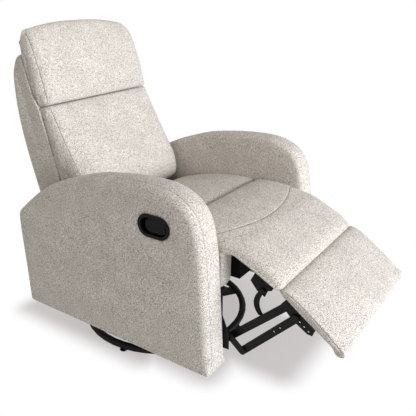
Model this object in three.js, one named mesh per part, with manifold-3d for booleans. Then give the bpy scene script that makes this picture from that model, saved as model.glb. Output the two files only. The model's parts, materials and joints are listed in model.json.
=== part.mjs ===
// A swivel glider recliner with its footrest out: a round floor ring, a turning plate, four
// hanging glide links, two upholstered arms, a reclining back, a sprung seat and the folding
// steel linkage that carries the two footrest panels.
// Millimetres. +Z is up, the sitter faces -Y, and +X is the sitter's left. The pieces are placed
// from the swivel axis, and then the whole chair is moved so that the origin lies on the floor at
// the centre of its outline.

import * as THREE from 'three';
import { mergeVertices } from 'three/addons/utils/BufferGeometryUtils.js';
import Module from 'manifold-3d';

const wasm = await Module();
wasm.setup();

// Driving sizes of the whole chair
const overallWidth = 720;
const armThickness = 93;
const armDepth = 787;
const armHeight = 555;
const armBottom = 106;
const armFront = 438;

// Running gaps and overruns
const seatedGap = 0.3;
const softGap = 1.5;
const pinPlay = 0.4;
const cutOverrun = 20;

const armInner = overallWidth / 2 - armThickness;
const degree = Math.PI / 180;

// Sheet planes across the chair, each set in from the arm and from the one outside it
const sheet = 4;
const sideSheet = 3;
const platePlay = 4.5;
const linkGap = 2.5;
const hookSetIn = 22;
const driveGap = 3.5;
const glideSetIn = 75.5;
const sidePlane = armInner - platePlay - sideSheet;
const driveLinkPlane = sidePlane - driveGap - sheet;
const lowerBarPlane = driveLinkPlane - linkGap - sheet;
const footBracketPlane = lowerBarPlane - linkGap - sheet;
const upperBarPlane = footBracketPlane - linkGap - sheet;
const upperLinkPlane = upperBarPlane - linkGap - sheet;
const hookPlane = upperLinkPlane - hookSetIn - sheet;
const midBracketPlane = hookPlane - sideSheet - sheet;
const bracketPlane = sidePlane - glideSetIn;

// Finishes
const tweed = new THREE.MeshStandardMaterial({ color: 0xc9c1b6, roughness: 0.95, metalness: 0 });
const blackSteel = new THREE.MeshStandardMaterial({ color: 0x1b1b1c, roughness: 0.45, metalness: 0.6 });
const springSteel = new THREE.MeshStandardMaterial({ color: 0x8d8f90, roughness: 0.35, metalness: 0.9 });
const blackPlastic = new THREE.MeshStandardMaterial({ color: 0x161616, roughness: 0.4, metalness: 0 });
const blackCloth = new THREE.MeshStandardMaterial({ color: 0x141416, roughness: 0.98, metalness: 0 });
const plywood = new THREE.MeshStandardMaterial({ color: 0xb98f5f, roughness: 0.7, metalness: 0 });

// Solids that are cut or joined
function toSolid(geometry) {
  const bare = geometry.index ? geometry.toNonIndexed() : geometry.clone();
  bare.deleteAttribute('normal');
  bare.deleteAttribute('uv');
  const merged = mergeVertices(bare, 1e-4);
  return new wasm.Manifold(new wasm.Mesh({
    numProp: 3,
    vertProperties: Float32Array.from(merged.attributes.position.array),
    triVerts: Uint32Array.from(merged.index.array),
  }));
}

function toGeometry(solid) {
  const found = solid.getMesh();
  const geometry = new THREE.BufferGeometry();
  geometry.setAttribute('position', new THREE.BufferAttribute(new Float32Array(found.vertProperties), 3));
  geometry.setIndex(new THREE.BufferAttribute(new Uint32Array(found.triVerts), 1));
  geometry.computeVertexNormals();
  return geometry;
}

function join(...geometries) {
  return toGeometry(geometries.map(toSolid).reduce((whole, next) => whole.add(next)));
}

function cut(geometry, ...cutters) {
  return toGeometry(cutters.map(toSolid).reduce((left, next) => left.subtract(next), toSolid(geometry)));
}

function piece(name, geometry, material, parent) {
  const mesh = new THREE.Mesh(geometry, material);
  mesh.name = name;
  parent.add(mesh);
  return mesh;
}

function group(parent, y = 0, z = 0) {
  const holder = new THREE.Group();
  holder.position.set(0, y, z);
  parent.add(holder);
  return holder;
}

// Box between two corners
function block(x0, x1, y0, y1, z0, z1) {
  const box = new THREE.BoxGeometry(x1 - x0, y1 - y0, z1 - z0);
  return box.translate((x0 + x1) / 2, (y0 + y1) / 2, (z0 + z1) / 2);
}

// Sheet cut to a side profile, drawn in Y and Z, from x0 to x1
function sidePlate(shape, x0, x1, curveSegments = 8) {
  const sheet = new THREE.ExtrudeGeometry(shape, { depth: x1 - x0, bevelEnabled: false, curveSegments });
  const lay = new THREE.Matrix4().makeBasis(
    new THREE.Vector3(0, 1, 0), new THREE.Vector3(0, 0, 1), new THREE.Vector3(1, 0, 0));
  return sheet.applyMatrix4(lay).translate(x0, 0, 0);
}

function polygon(points) {
  return new THREE.Shape(points.map(([y, z]) => new THREE.Vector2(y, z)));
}

// Corners of a round section or hole. grown puts the flats, not the corners, on the radius
function circlePoints(radius, count, y = 0, z = 0, grown = false) {
  const reach = grown ? radius / Math.cos(Math.PI / count) : radius;
  return Array.from({ length: count }, (_, index) => {
    const angle = (2 * Math.PI * (index + 0.5)) / count;
    return new THREE.Vector2(y + reach * Math.cos(angle), z + reach * Math.sin(angle));
  });
}

function roundHole(shape, y, z, radius, count = 12) {
  shape.holes.push(new THREE.Path(circlePoints(radius, count, y, z, true).reverse()));
}

// Round bar along X from x0 to x1
function crossPin(radius, x0, x1, y, z, sides = 16) {
  return new THREE.CylinderGeometry(radius, radius, x1 - x0, sides)
    .rotateZ(Math.PI / 2).translate((x0 + x1) / 2, y, z);
}

// Strap with round ends that runs from the origin along +Y
function strapShape(length, halfWidth) {
  const shape = new THREE.Shape();
  shape.absarc(0, 0, halfWidth, Math.PI / 2, 1.5 * Math.PI, false);
  shape.absarc(length, 0, halfWidth, -Math.PI / 2, Math.PI / 2, false);
  shape.closePath();
  return shape;
}

// Sheet thickness on one side of the chair, from the inner face outwards. side is -1 or 1
function span(side, near, far) {
  return side > 0 ? [near, far] : [-far, -near];
}

const sides = [['right', -1], ['left', 1]];

// A stuffed form on a flat bottom: x across, y along, z away from what it lies on. Its outline is
// a rounded rectangle whose sides are drawn in between the corners, and its top is crowned. Its
// bottom may rise towards the far end.
const cushionRingShares = [0.8, 0.55, 0.27];
const cushionFloorShares = [0.4, 0.75];
const cushionSoftShare = 0.3;
function cushion(size) {
  const { halfWidth, length, thickness, crown, edge, pinch } = size;
  const { widthTaper = 0, thicknessTaper = 0, squareness = 9, around = 32 } = size;
  const { soleRise = 0, soleFrom = 0 } = size;
  const halfLength = length / 2;
  const vertices = [];
  const triangles = [];
  const power = 2 / squareness;
  const place = (index, inset, share) => {
    const angle = (2 * Math.PI * (index + 0.5)) / around;
    const u = Math.sign(Math.cos(angle)) * Math.abs(Math.cos(angle)) ** power;
    const v = Math.sign(Math.sin(angle)) * Math.abs(Math.sin(angle)) ** power;
    const width = halfWidth + widthTaper * v - pinch * (1 - v * v) - inset;
    const reach = halfLength - pinch * (1 - u * u) - inset;
    return [u * width * share, v * reach * share];
  };
  const topAt = (x, y) => {
    const across = Math.min(1, Math.abs(x) / (halfWidth + widthTaper * (y / halfLength)));
    const along = Math.min(1, Math.abs(y) / halfLength);
    const rise = (1 - across ** 3) * (1 - along ** 3);
    return thickness + thicknessTaper * (y / halfLength) + crown * rise;
  };
  const soleAt = (x, y) => soleRise * (Math.max(0, y / halfLength - soleFrom) / (1 - soleFrom)) ** 2;
  const rings = [];
  const ring = (inset, share, height) => {
    rings.push(vertices.length / 3);
    for (let index = 0; index < around; index += 1) {
      const [x, y] = place(index, inset, share);
      vertices.push(x, y, height(x, y));
    }
  };
  vertices.push(0, 0, 0);
  cushionFloorShares.forEach((share) => ring(edge, share, soleAt));
  ring(edge, 1, soleAt);
  ring(edge * cushionSoftShare, 1, (x, y) => soleAt(x, y) + edge * cushionSoftShare);
  ring(0, 1, (x, y) => soleAt(x, y) + edge);
  ring(0, 1, (x, y) => topAt(x, y) - edge);
  ring(edge * cushionSoftShare, 1, (x, y) => topAt(x, y) - edge * cushionSoftShare);
  ring(edge, 1, topAt);
  cushionRingShares.forEach((share) => ring(edge, share, topAt));
  const summit = vertices.length / 3;
  vertices.push(0, 0, topAt(0, 0));
  for (let index = 0; index < around; index += 1) {
    const next = (index + 1) % around;
    triangles.push(0, rings[0] + next, rings[0] + index);
    for (let level = 0; level + 1 < rings.length; level += 1) {
      const low = rings[level];
      const high = rings[level + 1];
      triangles.push(low + index, low + next, high + next, low + index, high + next, high + index);
    }
    const last = rings[rings.length - 1];
    triangles.push(last + index, last + next, summit);
  }
  const geometry = new THREE.BufferGeometry();
  geometry.setAttribute('position', new THREE.Float32BufferAttribute(vertices, 3));
  geometry.setIndex(triangles);
  geometry.computeVertexNormals();
  return geometry;
}

const recliner = new THREE.Group();

// Base: the floor ring, its four spokes, its glides and the lower half of the swivel bearing
const ringRadius = 308;
const ringTube = 12.5;
const glideFootHeight = 6;
const glideFootRadius = 14;
const spokeWidth = 50;
const spokeThickness = 5;
const spokeAngle = 35 * degree;
const footAngles = [188, 278, 8, 98].map((angle) => angle * degree);
const bearingRadius = 62;
const bearingHeight = 29;
const swivelPostRadius = 18;
const swivelPostHeight = 18;

const base = group(recliner);
const ringCentre = ringRadius - ringTube;
const ringHeight = glideFootHeight + ringTube;
const ringTorus = new THREE.TorusGeometry(ringCentre, ringTube, 8, 44);
const floorRing = piece('base_ring', ringTorus, blackSteel, base);
floorRing.position.z = ringHeight;

const spokeReach = Math.sqrt((ringCentre - ringTube - seatedGap) ** 2 - (spokeWidth / 2) ** 2) - seatedGap;
const spoke = (angle) => block(-spokeReach, spokeReach, -spokeWidth / 2, spokeWidth / 2,
  -spokeThickness / 2, spokeThickness / 2).rotateZ(angle);
const spokes = piece('base_spokes', join(spoke(spokeAngle), spoke(-spokeAngle)), blackSteel, base);
spokes.position.z = ringHeight;

footAngles.forEach((angle, index) => {
  const lip = glideFootHeight / 3;
  const profile = [[0, 0], [glideFootRadius - lip, 0], [glideFootRadius, lip],
    [glideFootRadius - lip, glideFootHeight - seatedGap], [0, glideFootHeight - seatedGap]];
  const foot = new THREE.LatheGeometry(profile.map(([r, z]) => new THREE.Vector2(r, z)), 12);
  const placed = piece(`base_foot_${index + 1}`, foot.rotateX(Math.PI / 2), blackPlastic, base);
  placed.position.set(ringCentre * Math.cos(angle), ringCentre * Math.sin(angle), 0);
});

const bearingFoot = ringHeight + spokeThickness / 2 + seatedGap;
const bearingTop = bearingFoot + bearingHeight;
const bearingNeck = bearingRadius * 0.7;
const bearingLip = bearingHeight / 4;
const lowerBearingProfile = [[0, 0], [bearingRadius, 0], [bearingRadius, bearingLip],
  [bearingNeck, 2 * bearingLip], [bearingNeck, 3 * bearingLip], [bearingRadius, 3 * bearingLip],
  [bearingRadius, bearingHeight], [swivelPostRadius, bearingHeight],
  [swivelPostRadius, bearingHeight + swivelPostHeight], [0, bearingHeight + swivelPostHeight]];
const lowerBearing = new THREE.LatheGeometry(
  lowerBearingProfile.map(([r, z]) => new THREE.Vector2(r, z)), 28).rotateX(Math.PI / 2);
piece('swivel_bearing_lower', lowerBearing, blackSteel, base).position.z = bearingFoot;

// Turning part: the plate on the bearing, its retaining ring and the two glide brackets
const plateRim = 16;
const plateHalfX = bracketPlane + plateRim;
const plateHalfY = 160;
const plateThickness = 4;
const plateCorner = 40;
const retainerRadius = 50;
const glidePinY = 110;
const glidePinHigh = 235;
const glideLinkLength = 110;
const glidePinRadius = 6;
const bracketFlange = 34;
const earRadius = 20;

const turning = group(recliner);
const plateShape = new THREE.Shape();
plateShape.moveTo(-plateHalfX + plateCorner, -plateHalfY);
plateShape.lineTo(plateHalfX - plateCorner, -plateHalfY);
plateShape.lineTo(plateHalfX, -plateHalfY + plateCorner);
plateShape.lineTo(plateHalfX, plateHalfY - plateCorner);
plateShape.lineTo(plateHalfX - plateCorner, plateHalfY);
plateShape.lineTo(-plateHalfX + plateCorner, plateHalfY);
plateShape.lineTo(-plateHalfX, plateHalfY - plateCorner);
plateShape.lineTo(-plateHalfX, -plateHalfY + plateCorner);
roundHole(plateShape, 0, 0, swivelPostRadius + pinPlay);
const plateFloor = bearingTop + seatedGap;
const swivelPlate = new THREE.ExtrudeGeometry(plateShape,
  { depth: plateThickness, bevelEnabled: false, curveSegments: 14 });
piece('swivel_plate', swivelPlate, blackSteel, turning).position.z = plateFloor;

const plateTop = plateFloor + plateThickness + seatedGap;
const retainerShape = new THREE.Shape().absarc(0, 0, retainerRadius, 0, 2 * Math.PI, false);
roundHole(retainerShape, 0, 0, swivelPostRadius + pinPlay);
const retainer = new THREE.ExtrudeGeometry(retainerShape,
  { depth: 2 * sheet, bevelEnabled: false, curveSegments: 14 });
piece('swivel_bearing_upper', retainer, blackSteel, turning).position.z = plateTop;

const bracketFoot = plateHalfY - plateCorner;
const bracketValley = (glidePinHigh + plateTop) / 2;
const earSpread = glidePinY - earRadius;
for (const [word, side] of sides) {
  const shape = polygon([[-bracketFoot, plateTop], [bracketFoot, plateTop],
    [glidePinY + earRadius, glidePinHigh], [glidePinY + earRadius / 2, glidePinHigh + earRadius],
    [glidePinY - earRadius / 2, glidePinHigh + earRadius], [earSpread, glidePinHigh],
    [earSpread / 2, bracketValley], [-earSpread / 2, bracketValley], [-earSpread, glidePinHigh],
    [-glidePinY + earRadius / 2, glidePinHigh + earRadius],
    [-glidePinY - earRadius / 2, glidePinHigh + earRadius], [-glidePinY - earRadius, glidePinHigh]]);
  roundHole(shape, -glidePinY, glidePinHigh, glidePinRadius + pinPlay);
  roundHole(shape, glidePinY, glidePinHigh, glidePinRadius + pinPlay);
  const web = sidePlate(shape, ...span(side, bracketPlane, bracketPlane + sheet), 5);
  const flange = block(...span(side, bracketPlane - bracketFlange, bracketPlane + sheet),
    -bracketFoot, bracketFoot, plateTop, plateTop + sheet);
  piece(`glide_bracket_${word}`, join(web, flange), blackSteel, turning);
}

// Hanging glide links, each with a pin through the bracket above and the chair's rail below
const glideLinkPlane = bracketPlane + sheet + sheet;
const glideLinkHalfWidth = 13;
const railPlane = glideLinkPlane + sheet + sheet;
for (const [word, side] of sides) {
  for (const [end, y] of [['front', -glidePinY], ['rear', glidePinY]]) {
    const strap = sidePlate(strapShape(glideLinkLength, glideLinkHalfWidth),
      ...span(side, glideLinkPlane, glideLinkPlane + sheet), 6);
    const upperPin = crossPin(glidePinRadius, ...span(side, bracketPlane - sheet / 2,
      glideLinkPlane + sheet / 2), 0, 0, 12);
    const upperCollar = crossPin(glidePinRadius * 1.6,
      ...span(side, bracketPlane + sheet + seatedGap, glideLinkPlane + sheet / 2), 0, 0, 12);
    const lowerPin = crossPin(glidePinRadius, ...span(side, glideLinkPlane + sheet / 2,
      railPlane + 1.5 * sheet),
      glideLinkLength, 0, 12);
    const lowerCollar = crossPin(glidePinRadius * 1.6,
      ...span(side, glideLinkPlane + sheet / 2, railPlane - seatedGap), glideLinkLength, 0, 12);
    const link = piece(`glide_link_${end}_${word}`,
      join(strap, upperPin, upperCollar, lowerPin, lowerCollar), blackSteel, recliner);
    link.position.set(0, y, glidePinHigh);
    link.rotation.x = -Math.PI / 2;
  }
}

// Footrest fold: where the padded panels bend, and the slopes at which they lie when open
const foldY = -470;
const foldZ = 491;
const midSlope = 26.7 * degree;
const footSlope = 36.9 * degree;
const midLength = 160;
const footLength = 235;
const panelPad = 34;
const panelBoard = 10;
const panelSetIn = 9;
const boardSetIn = 34;
const panelHalfWidth = armInner - panelSetIn;
const boardHalfWidth = panelHalfWidth - boardSetIn;
const boardInset = 15;
const panelCrown = 10;
const panelEdge = 11;
const panelGap = 1;
const panelPinch = 2;
const foldedBay = 135;
const creaseRelief = (panelPad + panelBoard) * Math.tan((footSlope - midSlope) / 2);

// Side mechanism plates: a flat web, a shelf turned inwards and a drop rail for the glide pins
const plateFrontToe = 446;
const plateToeFoot = 150;
const plateToeRise = 56;
const shelfHalf = 150;
const dropRail = 45;
const driveY = -304.5;
const driveZ = 308.5;
const upperY = -262.1;
const upperZ = 290.2;
const driveRadius = 8;
const linkPinRadius = 6;
const reclineY = 215;
const reclineZ = 335;
const reclinePinRadius = 9;
const cableRadius = 2.5;
const latchY = -255;
const cableZ = 330;
const toeHoleRadius = 4;
const seatBoxBottom = 345;
const foldSweep = Math.hypot(boardInset, panelPad + panelBoard) + panelGap;
const seatBoxFront = foldY + foldSweep;
const tubeSize = 25;
const tubeZ = 285;
const tubeYs = [-100, 130];

const chair = group(recliner);
const plateCrest = seatBoxBottom - seatedGap;
const shelfFoot = glidePinHigh - glideLinkLength + earRadius;
const plateRear = reclineY + 3 * reclinePinRadius;
const webFoot = plateToeFoot + plateToeRise;
for (const [word, side] of sides) {
  const shape = polygon([[-plateFrontToe, plateToeFoot], [-plateFrontToe + tubeSize * 1.5, plateToeFoot],
    [driveY - 3 * tubeSize, webFoot + sheet], [-shelfHalf, webFoot + sheet], [-shelfHalf, shelfFoot],
    [shelfHalf, shelfFoot], [shelfHalf, webFoot + sheet], [plateRear, reclineZ - 3 * reclinePinRadius],
    [plateRear, plateCrest], [seatBoxFront, plateCrest],
    [seatBoxFront, webFoot + plateToeRise], [-plateFrontToe, webFoot]]);
  roundHole(shape, driveY, driveZ, driveRadius + pinPlay);
  roundHole(shape, upperY, upperZ, linkPinRadius + pinPlay);
  roundHole(shape, reclineY, reclineZ, reclinePinRadius + pinPlay);
  roundHole(shape, -plateFrontToe + tubeSize, plateToeFoot + 3 * toeHoleRadius, toeHoleRadius);
  roundHole(shape, latchY, cableZ, cableRadius + pinPlay);
  for (const y of [-shelfHalf / 2, 0, shelfHalf / 2]) roundHole(shape, y, webFoot + tubeSize, tubeSize / 2);
  const web = sidePlate(shape, ...span(side, sidePlane, sidePlane + sideSheet), 5);
  const shelf = block(...span(side, railPlane, sidePlane + sideSheet), -shelfHalf, shelfHalf,
    shelfFoot, shelfFoot + sheet);
  const railLip = shelfFoot + sheet - dropRail;
  const railShape = polygon([[-shelfHalf, shelfFoot + sheet], [-shelfHalf, railLip + dropRail / 2],
    [-shelfHalf + earRadius, railLip], [shelfHalf - earRadius, railLip],
    [shelfHalf, railLip + dropRail / 2], [shelfHalf, shelfFoot + sheet]]);
  roundHole(railShape, -glidePinY, glidePinHigh - glideLinkLength, glidePinRadius + pinPlay);
  roundHole(railShape, glidePinY, glidePinHigh - glideLinkLength, glidePinRadius + pinPlay);
  const rail = sidePlate(railShape, ...span(side, railPlane, railPlane + sheet), 5);
  const topFlange = block(...span(side, sidePlane - tubeSize, sidePlane + sideSheet), seatBoxFront,
    plateRear - 3 * reclinePinRadius - tubeSize, plateCrest - sideSheet, plateCrest);
  piece(`mechanism_plate_${word}`, join(web, shelf, rail, topFlange), blackSteel, chair);
}

tubeYs.forEach((y, index) => {
  const reach = sidePlane - seatedGap;
  const half = tubeSize / 2;
  const bore = half - sideSheet / 1.5;
  const outer = block(-reach, reach, -half, half, -half, half);
  const inner = block(-reach - cutOverrun, reach + cutOverrun, -bore, bore, -bore, bore);
  const tube = piece(`cross_tube_${['front', 'rear'][index]}`, cut(outer, inner), blackSteel, chair);
  tube.position.set(0, y, tubeZ);
});

// Seat box: padded side rails, cross rails, wavy springs and the cloth under them
const springFrontY = -413;
const springRearY = 120;
const springFrontZ = 449;
const springRearZ = 366;
const springWire = 2;
const springHalfWave = 18;
const springPitch = 30;
const springCount = 4;
const springSideRoom = 58.7;
const sideRailWidth = 58;
const sideRailRear = 185;
const sideRailEdge = 5;
const bracketBayHalf = 42;
const crossRailWidth = 20;
const frontRailFoot = 341;
const dustCloth = 2;

const springSlope = (springRearZ - springFrontZ) / (springRearY - springFrontY);
const springLine = (y) => springFrontZ + springSlope * (y - springFrontY);
const deckLift = springWire + seatedGap;
const railInner = armInner - seatedGap - sideRailWidth;
const springSpacing = (2 * (railInner - springSideRoom)) / (springCount - 1);

// Side profile with its long edges rounded, from x0 to x1
function paddedProfile(shape, x0, x1, rounding, curveSegments = 8, bevelSegments = 3) {
  const solid = new THREE.ExtrudeGeometry(shape, { depth: x1 - x0 - 2 * rounding, bevelEnabled: true,
    bevelThickness: rounding, bevelSize: rounding, bevelOffset: -rounding, bevelSegments, curveSegments });
  const lay = new THREE.Matrix4().makeBasis(
    new THREE.Vector3(0, 1, 0), new THREE.Vector3(0, 0, 1), new THREE.Vector3(1, 0, 0));
  return solid.applyMatrix4(lay).translate(x0 + rounding, 0, 0);
}

for (const [word, side] of sides) {
  const shape = new THREE.Shape();
  const roll = sideRailWidth / 2;
  shape.moveTo(seatBoxFront, seatBoxBottom + roll);
  shape.quadraticCurveTo(seatBoxFront, seatBoxBottom, seatBoxFront + roll, seatBoxBottom);
  shape.lineTo(sideRailRear, seatBoxBottom);
  shape.lineTo(sideRailRear, springLine(sideRailRear) + deckLift - seatedGap);
  shape.lineTo(seatBoxFront, springLine(seatBoxFront) + deckLift - seatedGap);
  shape.closePath();
  const rail = paddedProfile(shape, ...span(side, railInner, armInner - seatedGap), sideRailEdge, 4, 2);
  piece(`seat_side_rail_${word}`, rail, tweed, chair);
}

// The front rail steps back at both ends, where the folded footrest's brackets need room
const railTop = (y) => springLine(y) - deckLift;
const frontRailStart = springFrontY - crossRailWidth / 2;
const stepY = foldY + foldedBay;
const stepX = railInner - bracketBayHalf;
const railRear = stepY + crossRailWidth;
const frontRailShape = new THREE.Shape([
  [-stepX, frontRailStart], [stepX, frontRailStart], [stepX, stepY], [railInner - seatedGap, stepY],
  [railInner - seatedGap, railRear], [-railInner + seatedGap, railRear],
  [-railInner + seatedGap, stepY], [-stepX, stepY]].map(([x, y]) => new THREE.Vector2(x, y)));
const innerStep = stepX - crossRailWidth;
frontRailShape.holes.push(new THREE.Path([
  [-innerStep, frontRailStart + crossRailWidth], [-innerStep, stepY], [innerStep, stepY],
  [innerStep, frontRailStart + crossRailWidth]].map(([x, y]) => new THREE.Vector2(x, y))));
const frontRail = new THREE.ExtrudeGeometry(frontRailShape,
  { depth: railTop(railRear) - frontRailFoot, bevelEnabled: false });
piece('seat_front_rail', frontRail.translate(0, 0, frontRailFoot), blackCloth, chair);
piece('seat_rear_rail', block(-railInner + seatedGap, railInner - seatedGap,
  springRearY - crossRailWidth / 2, springRearY + crossRailWidth / 2, seatBoxBottom,
  railTop(springRearY + crossRailWidth / 2)), plywood, chair);
piece('seat_dust_cloth', block(-railInner + softGap, railInner - softGap,
  railRear + seatedGap, springRearY - crossRailWidth / 2 - seatedGap,
  seatBoxBottom, seatBoxBottom + dustCloth), blackCloth, chair);

class WavySpring extends THREE.Curve {
  constructor(length, waves, half) {
    super();
    Object.assign(this, { length, waves, half });
  }

  getPoint(share, target = new THREE.Vector3()) {
    const swing = Math.sin(2 * Math.PI * this.waves * share);
    return target.set(this.half * swing, this.length * share, 0);
  }
}
const springLength = Math.hypot(springRearY - springFrontY, springRearZ - springFrontZ);
const springWaves = Math.round(springLength / (2 * springPitch));
const wireSection = new THREE.Shape(circlePoints(springWire, 5));
for (let index = 0; index < springCount; index += 1) {
  const wire = new THREE.ExtrudeGeometry(wireSection, { steps: springWaves * 8, bevelEnabled: false,
    extrudePath: new WavySpring(springLength, springWaves, springHalfWave) });
  const spring = piece(`seat_spring_${index + 1}`, wire, springSteel, chair);
  spring.position.set(springSpacing * (index - (springCount - 1) / 2), springFrontY, springFrontZ);
  spring.rotation.x = Math.atan(springSlope);
}

// Seat cushions: the deep rear one, the bowed front one and the folding bridge to the footrest
const seatHalfWidth = armInner - softGap;
const seatSplitY = -231;
const seatRearY = 126;
const seatThickness = 78;
const seatCrown = 12;
const seatEdge = 16;
const cushionPinch = 3;
const seatFrontTop = 514;
const bowedTop = 509;
const lipTop = 501;
const frontPadEdge = 6;
const bridgeEdge = 3;

const seatAngle = Math.atan(springSlope);
const seatSpan = (seatRearY - seatSplitY - softGap) / Math.cos(seatAngle);
const seatMidY = (seatRearY + seatSplitY + softGap) / 2;
const seatHolder = group(chair, seatMidY, springLine(seatMidY) + deckLift + seatedGap);
seatHolder.rotation.x = seatAngle;
piece('seat_cushion', cushion({ halfWidth: seatHalfWidth, length: seatSpan, thickness: seatThickness,
  crown: seatCrown, edge: seatEdge, pinch: cushionPinch }), tweed, seatHolder);

const frontPadShape = new THREE.Shape();
const deckAt = (y) => springLine(y) + deckLift + seatedGap;
frontPadShape.moveTo(seatBoxFront, deckAt(seatBoxFront));
frontPadShape.lineTo(seatSplitY, deckAt(seatSplitY));
frontPadShape.lineTo(seatSplitY, seatFrontTop - seatEdge);
frontPadShape.quadraticCurveTo(seatSplitY, seatFrontTop, seatSplitY - seatEdge, seatFrontTop);
frontPadShape.quadraticCurveTo((seatSplitY + seatBoxFront) / 2, seatFrontTop,
  seatBoxFront + seatEdge, bowedTop);
frontPadShape.quadraticCurveTo(seatBoxFront, bowedTop, seatBoxFront, lipTop - seatEdge / 2);
frontPadShape.closePath();
const frontPad = paddedProfile(frontPadShape, -seatHalfWidth, seatHalfWidth, frontPadEdge, 5);
piece('seat_front_pad', frontPad, tweed, chair);

// Local frame of a footrest panel: the fold or crease at the origin, +Y down the slope
const midHolder = group(recliner, foldY, foldZ);
midHolder.rotation.x = Math.PI + midSlope;
const creaseY = foldY - midLength * Math.cos(midSlope);
const creaseZ = foldZ - midLength * Math.sin(midSlope);
const footHolder = group(recliner, creaseY, creaseZ);
footHolder.rotation.x = Math.PI + footSlope;

// Lower rear corner of the middle panel's pad, where the bridge ends
const padHeel = [foldY + panelPad * Math.sin(midSlope), foldZ - panelPad * Math.cos(midSlope)];
const bridgeShape = new THREE.Shape();
const bridgeRear = seatBoxFront - seatedGap;
bridgeShape.moveTo(foldY + 2 * seatedGap, foldZ - seatedGap);
bridgeShape.lineTo(padHeel[0] + 2 * seatedGap, padHeel[1] - seatedGap);
bridgeShape.lineTo(bridgeRear, deckAt(bridgeRear) + seatedGap);
bridgeShape.lineTo(bridgeRear, lipTop - seatEdge / 2);
bridgeShape.quadraticCurveTo((bridgeRear + foldY) / 2, lipTop + seatedGap,
  foldY + 2 * seatedGap, foldZ - seatedGap);
const bridge = paddedProfile(bridgeShape, -panelHalfWidth, panelHalfWidth, bridgeEdge, 4, 1);
piece('footrest_bridge', bridge, tweed, chair);

// Footrest panels: pad and board, seen with +Z of the holder pointing into the chair
function panel(name, holder, start, end, boardStart, boardEnd) {
  const pad = cushion({ halfWidth: panelHalfWidth, length: end - start, thickness: panelPad,
    crown: panelCrown, edge: panelEdge, pinch: panelPinch });
  const padMesh = piece(`${name}_pad`, pad, tweed, holder);
  padMesh.rotation.x = Math.PI;
  padMesh.position.set(0, (start + end) / 2, panelPad);
  const board = block(-boardHalfWidth, boardHalfWidth, boardStart, boardEnd,
    panelPad + seatedGap, panelPad + panelBoard);
  piece(`${name}_board`, board, plywood, holder);
}
const midEnd = midLength - creaseRelief - panelGap / 2;
const footStart = creaseRelief + panelGap / 2;
panel('mid_ottoman', midHolder, 0, midEnd, boardInset, midEnd);
panel('footrest', footHolder, footStart, footLength, footStart, footLength - panelEdge);

// Footrest brackets: an angle under the lower board with two pivots and three free holes
const pivotUpAlong = 46.5;
const pivotUpDepth = 47;
const pivotLowAlong = 84.3;
const pivotLowDepth = 54;
const bracketHalf = 12;
const bracketEnd = 142;
const freeHoleRadius = 3.2;
const freeHolePitch = 17;
const freeHoleCount = 3;
const flangeReach = 34;
const flangeStart = 68;
const boardUnder = panelPad + panelBoard + seatedGap;
for (const [word, side] of sides) {
  const top = panelPad + seatedGap;
  const low = pivotLowDepth + bracketHalf;
  const heel = pivotUpAlong - 1.4 * bracketHalf;
  const shape = polygon([[heel, top], [bracketEnd, top], [bracketEnd + bracketHalf / 2, low - bracketHalf],
    [bracketEnd - bracketHalf / 2, low - bracketHalf / 3], [pivotLowAlong + bracketHalf, low],
    [pivotLowAlong - bracketHalf, low], [heel, low - bracketHalf / 2]]);
  roundHole(shape, pivotUpAlong, pivotUpDepth, linkPinRadius + pinPlay);
  roundHole(shape, pivotLowAlong, pivotLowDepth, linkPinRadius + pinPlay);
  for (let index = 0; index < freeHoleCount; index += 1) {
    const along = bracketEnd - bracketHalf - index * freeHolePitch + freeHoleRadius;
    roundHole(shape, along, pivotLowDepth, freeHoleRadius);
  }
  const web = sidePlate(shape, ...span(side, footBracketPlane, footBracketPlane + sheet), 5);
  const flange = block(...span(side, footBracketPlane - flangeReach, footBracketPlane + sheet),
    flangeStart, bracketEnd, boardUnder, boardUnder + sideSheet);
  piece(`footrest_bracket_${word}`, join(web, flange), blackSteel, footHolder);
}

// Bracket under the middle board, with the stop hook that hangs from its pin
const midBracketFrom = 62;
const midBracketTo = 131;
const midBracketDepth = 96;
const hookPivotY = -520;
const hookPivotZ = 347;
const hookLength = 87;
const hookBow = 21;
const hookHalf = 9;
const midBracketFlange = 22;
const intoMid = (y, z) => {
  const dy = y - foldY;
  const dz = z - foldZ;
  const along = -dy * Math.cos(midSlope) - dz * Math.sin(midSlope);
  const depth = dy * Math.sin(midSlope) - dz * Math.cos(midSlope);
  return [along, depth];
};
for (const [word, side] of sides) {
  const [pinAlong, pinDepth] = intoMid(hookPivotY, hookPivotZ);
  const shape = polygon([[midBracketFrom, boardUnder], [midBracketTo, boardUnder],
    [midBracketTo, midBracketDepth - hookHalf], [midBracketTo - hookHalf, midBracketDepth],
    [pinAlong + 1.6 * hookHalf, pinDepth + 1.6 * hookHalf],
    [pinAlong - 1.6 * hookHalf, pinDepth + 1.6 * hookHalf], [midBracketFrom, pinDepth]]);
  roundHole(shape, pinAlong, pinDepth, linkPinRadius + pinPlay);
  const web = sidePlate(shape, ...span(side, midBracketPlane, midBracketPlane + sheet), 5);
  const flange = block(...span(side, midBracketPlane - midBracketFlange, midBracketPlane + sheet),
    midBracketFrom, midBracketTo, boardUnder, boardUnder + sideSheet);
  piece(`mid_bracket_${word}`, join(web, flange), blackSteel, midHolder);
}

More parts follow.
